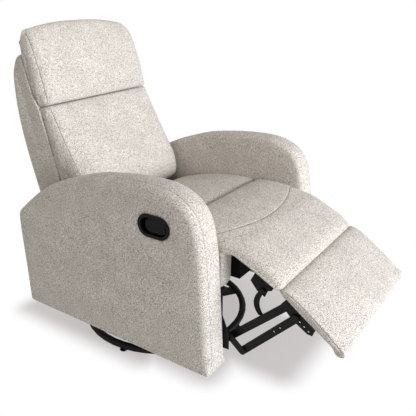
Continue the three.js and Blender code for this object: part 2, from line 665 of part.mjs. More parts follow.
for (const [word, side] of sides) {
  const shape = new THREE.Shape();
  const foot = -hookLength + linkPinRadius + pinPlay;
  shape.moveTo(-hookHalf, 0);
  shape.absarc(0, 0, hookHalf, Math.PI, 0, true);
  shape.quadraticCurveTo(hookHalf + hookBow * 1.6, -hookLength / 2, hookHalf, foot);
  shape.lineTo(-hookHalf, foot);
  shape.quadraticCurveTo(-hookHalf + hookBow * 1.6, -hookLength / 2, -hookHalf, 0);
  const strap = sidePlate(shape, ...span(side, hookPlane, hookPlane + sheet), 6);
  const pin = crossPin(linkPinRadius, ...span(side, midBracketPlane - sheet / 2, hookPlane + sheet / 2),
    0, 0, 12);
  const hook = piece(`stop_hook_${word}`, join(strap, pin), blackSteel, recliner);
  hook.position.set(0, hookPivotY, hookPivotZ);
}

// Footrest linkage: two swinging links on each side carry two bars that stay almost parallel
const linkHalf = 11;
const barHalf = 12;
const lowerJoint = [-489, 157];
const upperJoint = [-421, 165];
const boltHoleShares = [0.62, 0.73];
const fromFoot = (along, depth) => [
  creaseY - along * Math.cos(footSlope) + depth * Math.sin(footSlope),
  creaseZ - along * Math.sin(footSlope) - depth * Math.cos(footSlope)];
const lowerTip = fromFoot(pivotLowAlong, pivotLowDepth);
const upperTip = fromFoot(pivotUpAlong, pivotUpDepth);

function runOf([y0, z0], [y1, z1]) {
  return { length: Math.hypot(y1 - y0, z1 - z0), angle: Math.atan2(z1 - z0, y1 - y0) };
}

function strapAt(name, geometry, [y, z], angle) {
  const mesh = piece(name, geometry, blackSteel, recliner);
  mesh.position.set(0, y, z);
  mesh.rotation.x = angle;
}

for (const [word, side] of sides) {
  // Drive link: turns with the drive tube, and its lower end carries the lower bar
  const drive = runOf([driveY, driveZ], lowerJoint);
  const driveShape = strapShape(drive.length, linkHalf);
  roundHole(driveShape, 0, 0, driveRadius + seatedGap);
  roundHole(driveShape, drive.length, 0, linkPinRadius + pinPlay);
  const driveLink = sidePlate(driveShape, ...span(side, driveLinkPlane, driveLinkPlane + sheet), 6);
  strapAt(`drive_link_${word}`, driveLink, [driveY, driveZ], drive.angle);

  // Lower bar: a pin outwards at its heel and one inwards through the footrest bracket
  const low = runOf(lowerJoint, lowerTip);
  const lowShape = strapShape(low.length, barHalf);
  boltHoleShares.forEach((share) => roundHole(lowShape, low.length * share, 0, freeHoleRadius));
  const lowBar = join(sidePlate(lowShape, ...span(side, lowerBarPlane, lowerBarPlane + sheet), 6),
    crossPin(linkPinRadius, ...span(side, lowerBarPlane + sheet / 2, driveLinkPlane + sheet + seatedGap),
      0, 0, 12),
    crossPin(linkPinRadius, ...span(side, footBracketPlane - seatedGap, lowerBarPlane + sheet / 2),
      low.length, 0, 12));
  strapAt(`lower_bar_${word}`, lowBar, lowerJoint, low.angle);

  // Upper link: its long pin turns in the mechanism plate
  const up = runOf([upperY, upperZ], upperJoint);
  const upShape = strapShape(up.length, linkHalf);
  roundHole(upShape, up.length, 0, linkPinRadius + pinPlay);
  const upLink = join(sidePlate(upShape, ...span(side, upperLinkPlane, upperLinkPlane + sheet), 6),
    crossPin(linkPinRadius, ...span(side, upperLinkPlane + sheet / 2, sidePlane + sideSheet), 0, 0, 12));
  strapAt(`upper_link_${word}`, upLink, [upperY, upperZ], up.angle);

  // Upper bar: heel pin inwards, tip pin outwards, and the long pin on which the hook rests
  const high = runOf(upperJoint, upperTip);
  const rest = runOf(upperJoint, [hookPivotY, hookPivotZ - hookLength]);
  const restAlong = rest.length * Math.cos(rest.angle - high.angle);
  const restAcross = rest.length * Math.sin(rest.angle - high.angle);
  const highBar = join(sidePlate(strapShape(high.length, barHalf),
    ...span(side, upperBarPlane, upperBarPlane + sheet), 6),
    crossPin(linkPinRadius, ...span(side, upperLinkPlane - seatedGap, upperBarPlane + sheet / 2), 0, 0, 12),
    crossPin(linkPinRadius, ...span(side, upperBarPlane + sheet / 2, footBracketPlane + sheet + seatedGap),
      high.length, 0, 12),
    crossPin(linkPinRadius, ...span(side, hookPlane, upperBarPlane + sheet / 2),
      restAlong, restAcross, 12));
  strapAt(`upper_bar_${word}`, highBar, upperJoint, high.angle);
}

const driveTubeHalf = 10;
const driveReach = driveLinkPlane - seatedGap;
const driveBar = block(-driveReach, driveReach, -driveTubeHalf, driveTubeHalf, -driveTubeHalf, driveTubeHalf);
const driveShaft = crossPin(driveRadius, -sidePlane - sideSheet, sidePlane + sideSheet, 0, 0);
const tube = piece('drive_tube', join(driveBar, driveShaft), blackSteel, recliner);
tube.position.set(0, driveY, driveZ);

// Arms: one outline for both, with the latch pocket and the cable channel in the right one
const armStationShares = {
  toe: [0, 0],
  brow: [0.018, 0.615],
  peak: [0.268, 1],
  fall: [0.736, 0.863],
  rear: [1, 0.527],
  heel: [0.99, 0],
};
const armBendShares = [[0.012, 0.31], [0.01, 0.905], [0.092, 1], [0.417, 1], [0.607, 0.965],
  [0.842, 0.765], [0.995, 0.646]];
const armRounding = 16;
function armShape() {
  const at = ([along, up]) => [-armFront + along * armDepth, armBottom + up * armHeight];
  const shape = new THREE.Shape();
  const { toe, brow, peak, fall, rear, heel } = armStationShares;
  shape.moveTo(...at(toe));
  shape.lineTo(...at(heel));
  shape.lineTo(...at(rear));
  shape.bezierCurveTo(...at(armBendShares[6]), ...at(armBendShares[5]), ...at(fall));
  shape.bezierCurveTo(...at(armBendShares[4]), ...at(armBendShares[3]), ...at(peak));
  shape.bezierCurveTo(...at(armBendShares[2]), ...at(armBendShares[1]), ...at(brow));
  shape.quadraticCurveTo(...at(armBendShares[0]), ...at(toe));
  return shape;
}

// Latch: a stadium bezel let into the arm, a cup behind it and a pull lever on a barrel
const latchZ = 543;
const latchLength = 113;
const latchHeight = 70;
const latchFlange = 3;
const latchRim = 4;
const latchWall = 6;
const latchDepth = 24;
const latchFloor = 3;
const leverBarrel = 4;
const leverLength = 74;
const leverThickness = 5;
const leverHeight = 42;
const leverSet = 5;
function stadium(length, height) {
  const half = height / 2;
  const shape = new THREE.Shape();
  shape.absarc(-(length / 2 - half), 0, half, Math.PI / 2, 1.5 * Math.PI, false);
  shape.absarc(length / 2 - half, 0, half, -Math.PI / 2, Math.PI / 2, false);
  shape.closePath();
  return shape;
}
const armFace = -overallWidth / 2;
const cupLength = latchLength - 2 * latchRim;
const cupHeight = latchHeight - 2 * latchRim;
const pocket = sidePlate(stadium(cupLength + 2 * seatedGap, cupHeight + 2 * seatedGap),
  armFace - cutOverrun, armFace + latchDepth + seatedGap, 10).translate(0, latchY, latchZ);

// Release cable: from under the latch cup down inside the arm, then in through the plate
const cableTopZ = latchZ - cupHeight / 2 - seatedGap;
const cableX = armFace + latchDepth / 2;
const cableBend = 30;
const cableEnd = -driveLinkPlane - sheet;
const cablePlay = 1;
function cableSolid(radius, sidesAround, start, end) {
  const route = new THREE.CurvePath();
  route.add(new THREE.LineCurve3(new THREE.Vector3(cableX, latchY, start),
    new THREE.Vector3(cableX, latchY, cableZ + cableBend)));
  route.add(new THREE.QuadraticBezierCurve3(new THREE.Vector3(cableX, latchY, cableZ + cableBend),
    new THREE.Vector3(cableX, latchY, cableZ), new THREE.Vector3(cableX + cableBend, latchY, cableZ)));
  route.add(new THREE.LineCurve3(new THREE.Vector3(cableX + cableBend, latchY, cableZ),
    new THREE.Vector3(end, latchY, cableZ)));
  const section = new THREE.Shape(circlePoints(radius, sidesAround));
  return new THREE.ExtrudeGeometry(section, { steps: 14, bevelEnabled: false, extrudePath: route });
}

for (const [word, side] of sides) {
  const body = paddedProfile(armShape(), ...span(side, armInner, overallWidth / 2), armRounding, 12);
  const channel = cableSolid(cableRadius + cablePlay, 8, cableTopZ + cutOverrun, -armInner + cutOverrun);
  piece(`arm_${word}`, side < 0 ? cut(body, pocket, channel) : body, tweed, chair);
}
piece('release_cable', cableSolid(cableRadius, 6, cableTopZ, cableEnd), blackPlastic, chair);

const bezelFlange = sidePlate(stadium(latchLength, latchHeight), armFace - latchFlange - seatedGap,
  armFace - seatedGap, 10);
const bezelCup = sidePlate(stadium(cupLength, cupHeight), armFace - latchFlange, armFace + latchDepth, 10);
const recess = sidePlate(stadium(cupLength - 2 * latchWall, cupHeight - 2 * latchWall),
  armFace - cutOverrun, armFace + latchDepth - latchFloor, 10);
const bezel = piece('latch_bezel', cut(join(bezelFlange, bezelCup), recess), blackPlastic, chair);
bezel.position.set(0, latchY, latchZ);

const leverHingeY = latchY - leverLength / 2;
const leverX = armFace + leverSet;
const recessHalf = cupHeight / 2 - latchWall;
const barrelBeyond = leverLength / 2 + leverBarrel - (cupLength - cupHeight) / 2;
const barrelHalf = Math.sqrt(recessHalf ** 2 - barrelBeyond ** 2) - seatedGap;
const paddle = sidePlate(stadium(leverLength, leverHeight), -leverThickness / 2, leverThickness / 2, 8)
  .translate(0, leverLength / 2 - leverBarrel, 0);
const barrel = new THREE.CylinderGeometry(leverBarrel, leverBarrel, 2 * barrelHalf, 12).rotateX(Math.PI / 2);
const lever = piece('latch_lever', join(paddle, barrel), blackPlastic, chair);
lever.position.set(leverX, leverHingeY, latchZ);

// Back: a padded shell, two cushions on its front and the two steel brackets that carry it
const backLean = 14.7 * degree;
const backFootY = 213;
const backFootZ = 305;
const shellSetIn = 13;
const shellHalfWidth = armInner - shellSetIn;
const shellLength = 676;
const shellThickness = 84;
const shellCrown = 18;
const lumbarFrom = 128;
const creaseAlong = 496;
const headTop = 765;
const creaseSetIn = 3;
const headSetIn = 9;
const creaseHalfWidth = shellHalfWidth - creaseSetIn;
const headHalfWidth = creaseHalfWidth - headSetIn;
const shellEdge = 18;
const lumbarThickness = 97;
const lumbarThinning = 16;
const lumbarCrown = 26;
const lumbarEdge = 18;
const lumbarPinch = 5;
const headThickness = 62;
const headCrown = 12;
const headEdge = 14;
const headSoleRise = 30;
const headSoleShare = 0.28;

const back = group(recliner, backFootY, backFootZ);
back.rotation.x = Math.PI / 2 - backLean;
const shell = piece('back_shell', cushion({ halfWidth: shellHalfWidth, length: shellLength,
  thickness: shellThickness, crown: shellCrown, edge: shellEdge, pinch: panelPinch, squareness: 11,
}), tweed, back);
shell.rotation.y = Math.PI;
shell.position.set(0, shellLength / 2, -seatedGap);

const lumbarLength = creaseAlong - lumbarFrom - panelGap;
const lumbar = piece('lumbar_cushion', cushion({ halfWidth: creaseHalfWidth + cushionPinch,
  length: lumbarLength, thickness: lumbarThickness, thicknessTaper: -lumbarThinning, crown: lumbarCrown,
  edge: lumbarEdge, pinch: lumbarPinch, widthTaper: -cushionPinch }), tweed, back);
lumbar.position.set(0, lumbarFrom + lumbarLength / 2, seatedGap);

const headLength = headTop - creaseAlong - panelGap;
const head = piece('headrest_cushion', cushion({ halfWidth: (creaseHalfWidth + headHalfWidth) / 2,
  length: headLength, thickness: headThickness, crown: headCrown, edge: headEdge, pinch: cushionPinch,
  widthTaper: (headHalfWidth - creaseHalfWidth) / 2, squareness: 8, soleRise: headSoleRise,
  soleFrom: headSoleShare }), tweed, back);
head.position.set(0, creaseAlong + panelGap + headLength / 2, seatedGap);

const backBracketRise = 150;
const backBracketHalf = 20;
const backBracketPlane = shellHalfWidth - 0.7 * panelPinch + seatedGap;
for (const [word, side] of sides) {
  const bracketTop = [reclineY + backBracketRise * Math.sin(2 * backLean),
    reclineZ + backBracketRise * Math.cos(2 * backLean)];
  const slope = runOf([reclineY, reclineZ], bracketTop);
  const strap = sidePlate(strapShape(slope.length, backBracketHalf),
    ...span(side, backBracketPlane, backBracketPlane + sideSheet), 6);
  const pinSpan = span(side, backBracketPlane + sideSheet / 2, sidePlane + sideSheet);
  const pin = crossPin(reclinePinRadius, ...pinSpan, 0, 0, 12);
  const holder = piece(`back_bracket_${word}`, join(strap, pin), blackSteel, recliner);
  holder.position.set(0, reclineY, reclineZ);
  holder.rotation.x = slope.angle;
}

// The chair's outline on the floor is centred on the origin
const outline = new THREE.Box3().setFromObject(recliner, true);
const outlineCentre = outline.getCenter(new THREE.Vector3());
recliner.position.set(-outlineCentre.x, -outlineCentre.y, 0);
const placedChair = new THREE.Group();
placedChair.add(recliner);

export default placedChair;
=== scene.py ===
# %% [markdown]
# # A swivel glider recliner, dressed for its picture
# The frame holds the hard parts of the chair: steel, plastic, plywood and the plain shapes of the
# padding. This lesson gives the steel and plastic their finishes, and sews fuller covers over the
# padding. Lengths are in millimetres, measured from the axis on which the chair turns, and one
# function turns them into metres in the frame's own place.

# %% Load the frame
import bpy
import bmesh
import json
import math
import numpy as np
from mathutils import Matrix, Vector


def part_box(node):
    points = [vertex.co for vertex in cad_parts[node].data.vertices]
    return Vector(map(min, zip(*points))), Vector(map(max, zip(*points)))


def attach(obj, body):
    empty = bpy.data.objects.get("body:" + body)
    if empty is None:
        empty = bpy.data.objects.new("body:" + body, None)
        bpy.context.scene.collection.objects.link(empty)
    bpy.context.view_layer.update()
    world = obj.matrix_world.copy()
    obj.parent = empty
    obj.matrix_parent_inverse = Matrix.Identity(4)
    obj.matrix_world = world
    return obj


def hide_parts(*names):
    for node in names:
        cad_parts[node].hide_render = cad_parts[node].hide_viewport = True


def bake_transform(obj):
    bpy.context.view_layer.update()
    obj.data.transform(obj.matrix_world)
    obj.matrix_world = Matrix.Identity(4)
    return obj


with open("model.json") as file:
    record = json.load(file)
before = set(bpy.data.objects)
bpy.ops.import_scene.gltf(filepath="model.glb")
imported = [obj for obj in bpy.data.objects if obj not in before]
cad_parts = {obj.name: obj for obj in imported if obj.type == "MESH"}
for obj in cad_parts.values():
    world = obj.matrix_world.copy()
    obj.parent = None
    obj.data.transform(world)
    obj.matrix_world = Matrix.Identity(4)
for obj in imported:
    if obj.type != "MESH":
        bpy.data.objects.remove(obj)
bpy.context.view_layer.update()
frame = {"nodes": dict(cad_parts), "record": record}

# %% Millimetres from the turning axis
MM = 0.001
ring_low, ring_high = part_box("base_ring")
axle = np.array([(ring_low[0] + ring_high[0]) / 2, (ring_low[1] + ring_high[1]) / 2, 0.0])


def spot(x, y, z):
    """A place given in millimetres from the turning axis, in metres in the frame."""
    return tuple(axle + np.array([x, y, z], float) * MM)


print("the turning axis stands at", [round(float(v), 4) for v in axle])

# %% [markdown]
# ## Camera
# The photograph looks down on the chair from its right front. The lens and the place were worked out
# from the chair's own straight edges, so the picture has the same perspective. The focal length came
# out in picture points, so it is turned into millimetres on the sensor.

# %% Camera
SENSOR_WIDTH = 36.0
PICTURE_WIDTH = 416.0
FOCAL_POINTS = 544.45
LOOK_DOWN, LOOK_ROUND = 22.14, -55.88

camera_data = bpy.data.cameras.new("view")
camera_data.sensor_width = SENSOR_WIDTH
camera_data.lens = FOCAL_POINTS * SENSOR_WIDTH / PICTURE_WIDTH
camera = bpy.data.objects.new("view", camera_data)
camera.location = spot(-1421.65, -1157.57, 1163.65)
camera.rotation_euler = (math.radians(90 - LOOK_DOWN), 0.0, math.radians(LOOK_ROUND))
bpy.context.collection.objects.link(camera)
bpy.context.scene.camera = camera
bpy.context.scene.view_settings.view_transform = "Standard"
print("lens", round(camera_data.lens, 2), "mm")

# %% [markdown]
# ## Colours and nodes
# Colours are written as a screen shows them and turned into the linear values that a shader
# works with. One function adds a shader node with its settings and links.

# %% Colour and node helpers
def linear(code):
    """An sRGB hex colour as linear red, green, blue and full alpha."""
    values = [int(code[i:i + 2], 16) / 255 for i in (1, 3, 5)]
    return tuple(v / 12.92 if v <= 0.04045 else ((v + 0.055) / 1.055) ** 2.4 for v in values) + (1.0,)


def add_node(tree, kind, settings=None, links=None):
    """One node, its settings by property or socket name, and its links by socket name."""
    node = tree.nodes.new(kind)
    for name, value in (settings or {}).items():
        if isinstance(name, str) and hasattr(node, name):
            setattr(node, name, value)
        else:
            node.inputs[name].default_value = value
    for name, source in (links or {}).items():
        tree.links.new(source, node.inputs[name])
    return node


def new_material(name):
    """An empty material and its node tree."""
    material = bpy.data.materials.new(name)
    material.use_nodes = True
    material.node_tree.nodes.clear()
    return material, material.node_tree


def finish_material(tree, shader):
    """The shader goes to the surface."""
    add_node(tree, "ShaderNodeOutputMaterial", links={"Surface": shader.outputs[0]})


def object_place(tree):
    """Each point's place in the piece's own metres."""
    return add_node(tree, "ShaderNodeTexCoord").outputs["Object"]


def bump(tree, height, strength, millimetres):
    """A surface normal lifted by the given height."""
    lift = add_node(tree, "ShaderNodeBump", {"Strength": strength, "Distance": millimetres * MM},
                    {"Height": height})
    return lift.outputs["Normal"]


print("mid grey is", [round(v, 3) for v in linear("#808080")])

# %% [markdown]
# ## Tweed
# The cover is a chenille tweed: soft yarns about 3 mm thick, woven plain, in warm light grey with
# cream and taupe flecks. Each yarn shows for a short length before it dives under the next. Cells of
# noise stretched along the weft and the warp stand for those floats, and the same noise lifts the
# surface. The fibre ends catch light at a low angle, which is the sheen.

# %% Tweed
def yarn_noise(tree, place, size):
    """Noise in cells as large as one float of yarn, given along X, Y and Z in millimetres."""
    scale = tuple(1.0 / (v * MM) for v in size)
    cloth = add_node(tree, "ShaderNodeMapping", {"Scale": scale}, {"Vector": place})
    cells = add_node(tree, "ShaderNodeTexNoise", {"Scale": 1.0, "Detail": 2.0, "Roughness": 0.6},
                     {"Vector": cloth.outputs[0]})
    return cells.outputs["Fac"]


# The mix node has sockets of one name for numbers and for colours, so the colours go by number
MIX_FIRST, MIX_SECOND, MIX_RESULT = 6, 7, 2


def tweed_material(name, cream, middle, taupe, depth=0.7):
    """Chenille tweed in three tones of yarn, lifted by the share depth of its full relief."""
    material, tree = new_material(name)
    place = object_place(tree)
    # Floats of yarn: 3.4 mm long and 1.8 mm wide along the weft, and nearly the same along the warp
    weave = add_node(tree, "ShaderNodeMath", {"operation": "ADD"},
                     {0: yarn_noise(tree, place, (3.4, 3.4, 1.8)),
                      1: yarn_noise(tree, place, (1.9, 1.9, 3.1))})
    halved = add_node(tree, "ShaderNodeMath", {"operation": "MULTIPLY", 1: 0.5}, {0: weave.outputs[0]})
    colours = add_node(tree, "ShaderNodeValToRGB", links={"Fac": halved.outputs[0]})
    ramp = colours.color_ramp
    ramp.elements[0].position = 0.40
    ramp.elements[0].color = linear(taupe)
    ramp.elements[1].position = 0.60
    ramp.elements[1].color = linear(cream)
    ramp.elements.new(0.49).color = linear(middle)
    # Dye and pile differ slightly over a hand's width
    patches = add_node(tree, "ShaderNodeTexNoise", {"Scale": 14.0, "Detail": 1.0}, {"Vector": place})
    shade = add_node(tree, "ShaderNodeMapRange",
                     {"From Min": 0.3, "From Max": 0.7, "To Min": 0.94, "To Max": 1.04},
                     {"Value": patches.outputs["Fac"]})
    tinted = add_node(tree, "ShaderNodeMix",
                      {"data_type": "RGBA", "blend_type": "MULTIPLY", "Factor": 1.0},
                      {MIX_FIRST: colours.outputs["Color"], MIX_SECOND: shade.outputs["Result"]})
    shader = add_node(tree, "ShaderNodeBsdfPrincipled",
                      {"Roughness": 0.92, "Specular IOR Level": 0.25, "Sheen Weight": 0.18,
                       "Sheen Roughness": 0.5},
                      {"Base Color": tinted.outputs[MIX_RESULT],
                       "Normal": bump(tree, halved.outputs[0], depth, 0.8)})
    finish_material(tree, shader)
    return material


tweed = tweed_material("chenille_tweed", "#ECE7E1", "#C9C1B9", "#7B7166")
# The seam cloth is a darker copy of the tweed: painted shade of the sunk seam line.
seam_shade_tweed = tweed_material("sewn_seam", "#9A9188", "#7F776D", "#5E564E", depth=0.2)
print("made", tweed.name, "and", seam_shade_tweed.name)

# %% [markdown]
# ## Powder-coated steel
# The ring, the brackets and the links are cut and bent from sheet and bar, then powder coated in
# satin black. The baked powder flows into a skin with a faint orange peel. It is a paint, so the
# surface isn't metallic: it shows soft broad highlights.

# %% Powder coat
def coated_steel(name, colour, roughness):
    """Satin paint with a fine orange peel, glossier in some places than in others."""
    material, tree = new_material(name)
    place = object_place(tree)
    peel = add_node(tree, "ShaderNodeTexNoise", {"Scale": 700.0, "Detail": 2.0}, {"Vector": place})
    wear = add_node(tree, "ShaderNodeTexNoise", {"Scale": 60.0, "Detail": 4.0}, {"Vector": place})
    rough = add_node(tree, "ShaderNodeMapRange",
                     {"From Min": 0.3, "From Max": 0.7,
                      "To Min": roughness - 0.05, "To Max": roughness + 0.08},
                     {"Value": wear.outputs["Fac"]})
    shader = add_node(tree, "ShaderNodeBsdfPrincipled",
                      {"Base Color": linear(colour), "IOR": 1.5, "Specular IOR Level": 0.3},
                      {"Roughness": rough.outputs["Result"],
                       "Normal": bump(tree, peel.outputs["Fac"], 0.25, 0.1)})
    finish_material(tree, shader)
    return material


powder_coat = coated_steel("black_powder_coat", "#070708", 0.5)
print("made", powder_coat.name)

# %% [markdown]
# ## Moulded ABS, spring wire and lining cloth
# The latch is moulded in black ABS from a mould with a fine spark texture. The wavy springs are
# oiled carbon steel wire. The lining is a spun black cloth. It closes the seat from below and wraps
# the board under the middle footrest panel.

# %% Moulded ABS
def moulded_abs(name, colour):
    """Plastic with the fine grain of a spark-cut mould."""
    material, tree = new_material(name)
    spark = add_node(tree, "ShaderNodeTexNoise", {"Scale": 1100.0, "Detail": 2.0},
                     {"Vector": object_place(tree)})
    shader = add_node(tree, "ShaderNodeBsdfPrincipled",
                      {"Base Color": linear(colour), "Roughness": 0.42, "IOR": 1.54,
                       "Specular IOR Level": 0.2},
                      {"Normal": bump(tree, spark.outputs["Fac"], 0.3, 0.08)})
    finish_material(tree, shader)
    return material


black_abs = moulded_abs("moulded_abs", "#040405")
print("made", black_abs.name)

# %% Spring wire
def oiled_wire():
    """Bare steel under a film of oil that lies thicker in places."""
    material, tree = new_material("oiled_spring_wire")
    film = add_node(tree, "ShaderNodeTexNoise", {"Scale": 90.0, "Detail": 3.0},
                    {"Vector": object_place(tree)})
    tone = add_node(tree, "ShaderNodeValToRGB", links={"Fac": film.outputs["Fac"]})
    tone.color_ramp.elements[0].color = linear("#5D5B58")
    tone.color_ramp.elements[1].color = linear("#8E8C88")
    shader = add_node(tree, "ShaderNodeBsdfPrincipled", {"Metallic": 1.0, "Roughness": 0.34},
                      {"Base Color": tone.outputs["Color"]})
    finish_material(tree, shader)
    return material


spring_wire = oiled_wire()
print("made", spring_wire.name)

# %% Spun lining cloth
def lining_cloth():
    """Spun cloth, pressed between rolls with a grid of small dots about 2 mm apart."""
    material, tree = new_material("spun_lining")
    dots = add_node(tree, "ShaderNodeTexVoronoi", {"Scale": 500.0, "Randomness": 0.3},
                    {"Vector": object_place(tree)})
    tone = add_node(tree, "ShaderNodeValToRGB", links={"Fac": dots.outputs["Distance"]})
    tone.color_ramp.elements[0].color = linear("#0C0C0D")
    tone.color_ramp.elements[1].color = linear("#1C1C1E")
    shader = add_node(tree, "ShaderNodeBsdfPrincipled", {"Roughness": 0.95, "Specular IOR Level": 0.2},
                      {"Base Color": tone.outputs["Color"],
                       "Normal": bump(tree, dots.outputs["Distance"], 0.4, 0.2)})
    finish_material(tree, shader)
    return material


lining = lining_cloth()
print("made", lining.name)

# %% [markdown]
# ## Finishes for the frame's own pieces
# The hard parts keep their shape from the frame. Real sheet metal and mouldings never have a
# knife-sharp edge, so a small bevel is added where light should catch. The record calls the two
# footrest boards plywood. The lower one lies inside its cover, and the one under the middle panel is
# wrapped in the black lining cloth, as the photograph shows no bare wood there.

# %% Dress the hard parts
slot_materials = {"tweed": tweed, "black_steel": powder_coat, "spring_wire": spring_wire,
                  "black_plastic": black_abs, "black_cloth": lining, "plywood": lining}
edge_radius = {"black_steel": 0.5, "black_plastic": 0.7, "plywood": 0.4}
SHARP_ANGLE = math.radians(38)
for part in frame["record"]["subparts"]:
    node = frame["nodes"][part["node"]]
    node.data.materials.clear()
    node.data.materials.append(slot_materials[part["material_slot"]])
    radius = edge_radius.get(part["material_slot"])
    if radius:
        bevel = node.modifiers.new("eased_edge", "BEVEL")
        bevel.width = radius * MM
        bevel.segments = 2
        bevel.limit_method = "ANGLE"
        bevel.angle_limit = SHARP_ANGLE
        bevel.harden_normals = False

# %% [markdown]
# ## Sewn forms
# Most of the padding is made in the same way: two side panels cut to a profile, and one long band
# sewn round between them. So one function builds them all. It takes the profile as a closed row of
# points, and for each point how much lower the sides lie than the middle, and the half width.
# The rows beside each seam lie close together, so the seam is a narrow sunk line.

# %% Smooth closed profile
CURVE_STEPS = 12


def distances_along(line):
    """How far each point of a line lies from its start."""
    return np.concatenate([[0], np.cumsum(np.linalg.norm(np.diff(line[:, :2], axis=0), axis=1))])


def closed_rows(loop):
    """The rows of a closed profile with the first again at the end, and the distances along it."""
    closed = np.vstack([loop, loop[:1]])
    return closed, distances_along(closed)


def columns_at(rows, along, wanted):
    """All columns at the wanted distances, between the rows that are known."""
    return np.array([[np.interp(s, along, rows[:, c]) for c in range(rows.shape[1])] for s in wanted])


def smooth_loop(control, spacing):
    """A closed curve through the control points, as evenly spaced rows. Extra columns ride along."""
    control = np.array(control, float)
    count = len(control)
    dense = []
    for i in range(count):
        before, here, after, beyond = (control[(i + k) % count] for k in (-1, 0, 1, 2))
        # The gaps' square roots keep the curve from overshooting where points lie close together
        g0, g1, g2 = [max(np.linalg.norm((b - a)[:2]), 1e-6) ** 0.5
                      for a, b in ((before, here), (here, after), (after, beyond))]
        leave = (after - here) / g1 - (after - before) / (g0 + g1) + (here - before) / g0
        arrive = (beyond - after) / g2 - (beyond - here) / (g1 + g2) + (after - here) / g1
        leave *= g1
        arrive *= g1
        cubic = 2 * (here - after) + leave + arrive
        square = -3 * (here - after) - 2 * leave - arrive
        for step in range(CURVE_STEPS):
            t = step / CURVE_STEPS
            dense.append(cubic * t ** 3 + square * t ** 2 + leave * t + here)
    closed, length = closed_rows(np.array(dense))
    rows = max(12, int(round(length[-1] / spacing)))
    return columns_at(closed, length, np.arange(rows) * length[-1] / rows)


def inward_normals(loop):
    """Unit normals of a closed profile that point into it."""
    ahead = np.roll(loop[:, :2], -1, axis=0) - np.roll(loop[:, :2], 1, axis=0)
    ahead /= np.linalg.norm(ahead, axis=1)[:, None]
    area = np.sum(loop[:, 0] * np.roll(loop[:, 1], -1) - np.roll(loop[:, 0], -1) * loop[:, 1])
    turn = 1.0 if area > 0 else -1.0
    return np.stack([-ahead[:, 1], ahead[:, 0]], axis=1) * turn


def nearest_on(line, spots):
    """For each spot, the nearest point of an open line."""
    line = np.array(line, float)
    length = distances_along(line)
    fine = columns_at(line, length, np.linspace(0, length[-1], 240))
    return fine[((spots[:, None] - fine[None]) ** 2).sum(axis=2).argmin(axis=1)]


def rows_at(loop, wanted):
    """The closed profile's columns at the given distances along it."""
    closed, along = closed_rows(loop)
    return columns_at(closed, along, np.mod(wanted, along[-1]))


def rows_for_seam(loop, place, offsets, margin):
    """Distances along the profile, with close rows at the seam, and the seam's own distance."""
    along = closed_rows(loop)[1]
    seam = along[np.argmin(np.linalg.norm(loop[:, :2] - np.array(place), axis=1))]
    kept = [s for s in along[:-1] if abs(s - seam) > margin]
    return np.array(sorted(kept + [seam + d for d in offsets])), seam


print("profile helpers are ready")

# %% [markdown]
# Across the chair, the columns lie about 12 mm apart in the middle and crowd together round each
# edge. The edge is a quarter round, and the seam runs somewhere along its arc. The rows beside it
# are given by their distances from the seam and by how far each one sinks.

# %% Edge and seam sections
SEAM_OFFSETS = (-5.5, -2.4, -0.8, 0.8, 2.4, 5.5)
SEAM_SINK = (0.0, 0.4, 1.0, 1.0, 0.4, 0.0)
ON_SEAM = 1.0
CLEAR_OF_SEAM = SEAM_OFFSETS[-1] + 1.5


def edge_section(radius, seam_share, seam_depth, deep=1.0):
    """Steps round one edge, from the side panel to the band: (in from the side, drop, is seam)."""
    arc = radius * math.pi / 2
    seam = -math.inf if seam_share is None else seam_share * arc
    steps = [(u, 0.0) for u in np.linspace(0, arc, max(5, int(arc / 5)))
             if abs(u - seam) > CLEAR_OF_SEAM]
    if seam_share is not None:
        steps += [(seam + offset, sink * seam_depth) for offset, sink in zip(SEAM_OFFSETS, SEAM_SINK)]
    section = []
    for u, sink in sorted(steps):
        if u < 0:
            inward, drop = 0.0, radius * deep - u
        elif u <= arc:
            inward = radius * (1 - math.cos(u / radius))
            drop = radius * deep * (1 - math.sin(u / radius))
        else:
            inward, drop = radius + u - arc, 0.0
        angle = min(max(u, 0), arc) / radius
        section.append((inward + sink * math.cos(angle), drop + sink * math.sin(angle),
                        abs(u - seam) < ON_SEAM))
    return section


print("an edge of 20 mm has", len(edge_section(20.0, 0.6, 1.3)), "steps")

# %% [markdown]
# ## Covers that settle
# The lumbar cushion and the headrest have covers that are cut a little too large. They are held along
# their seams and where they are stapled, and a small pressure from the filling lets them settle as
# cloth between these. No point moves more than 6 mm, so a cover never leaves its cushion.

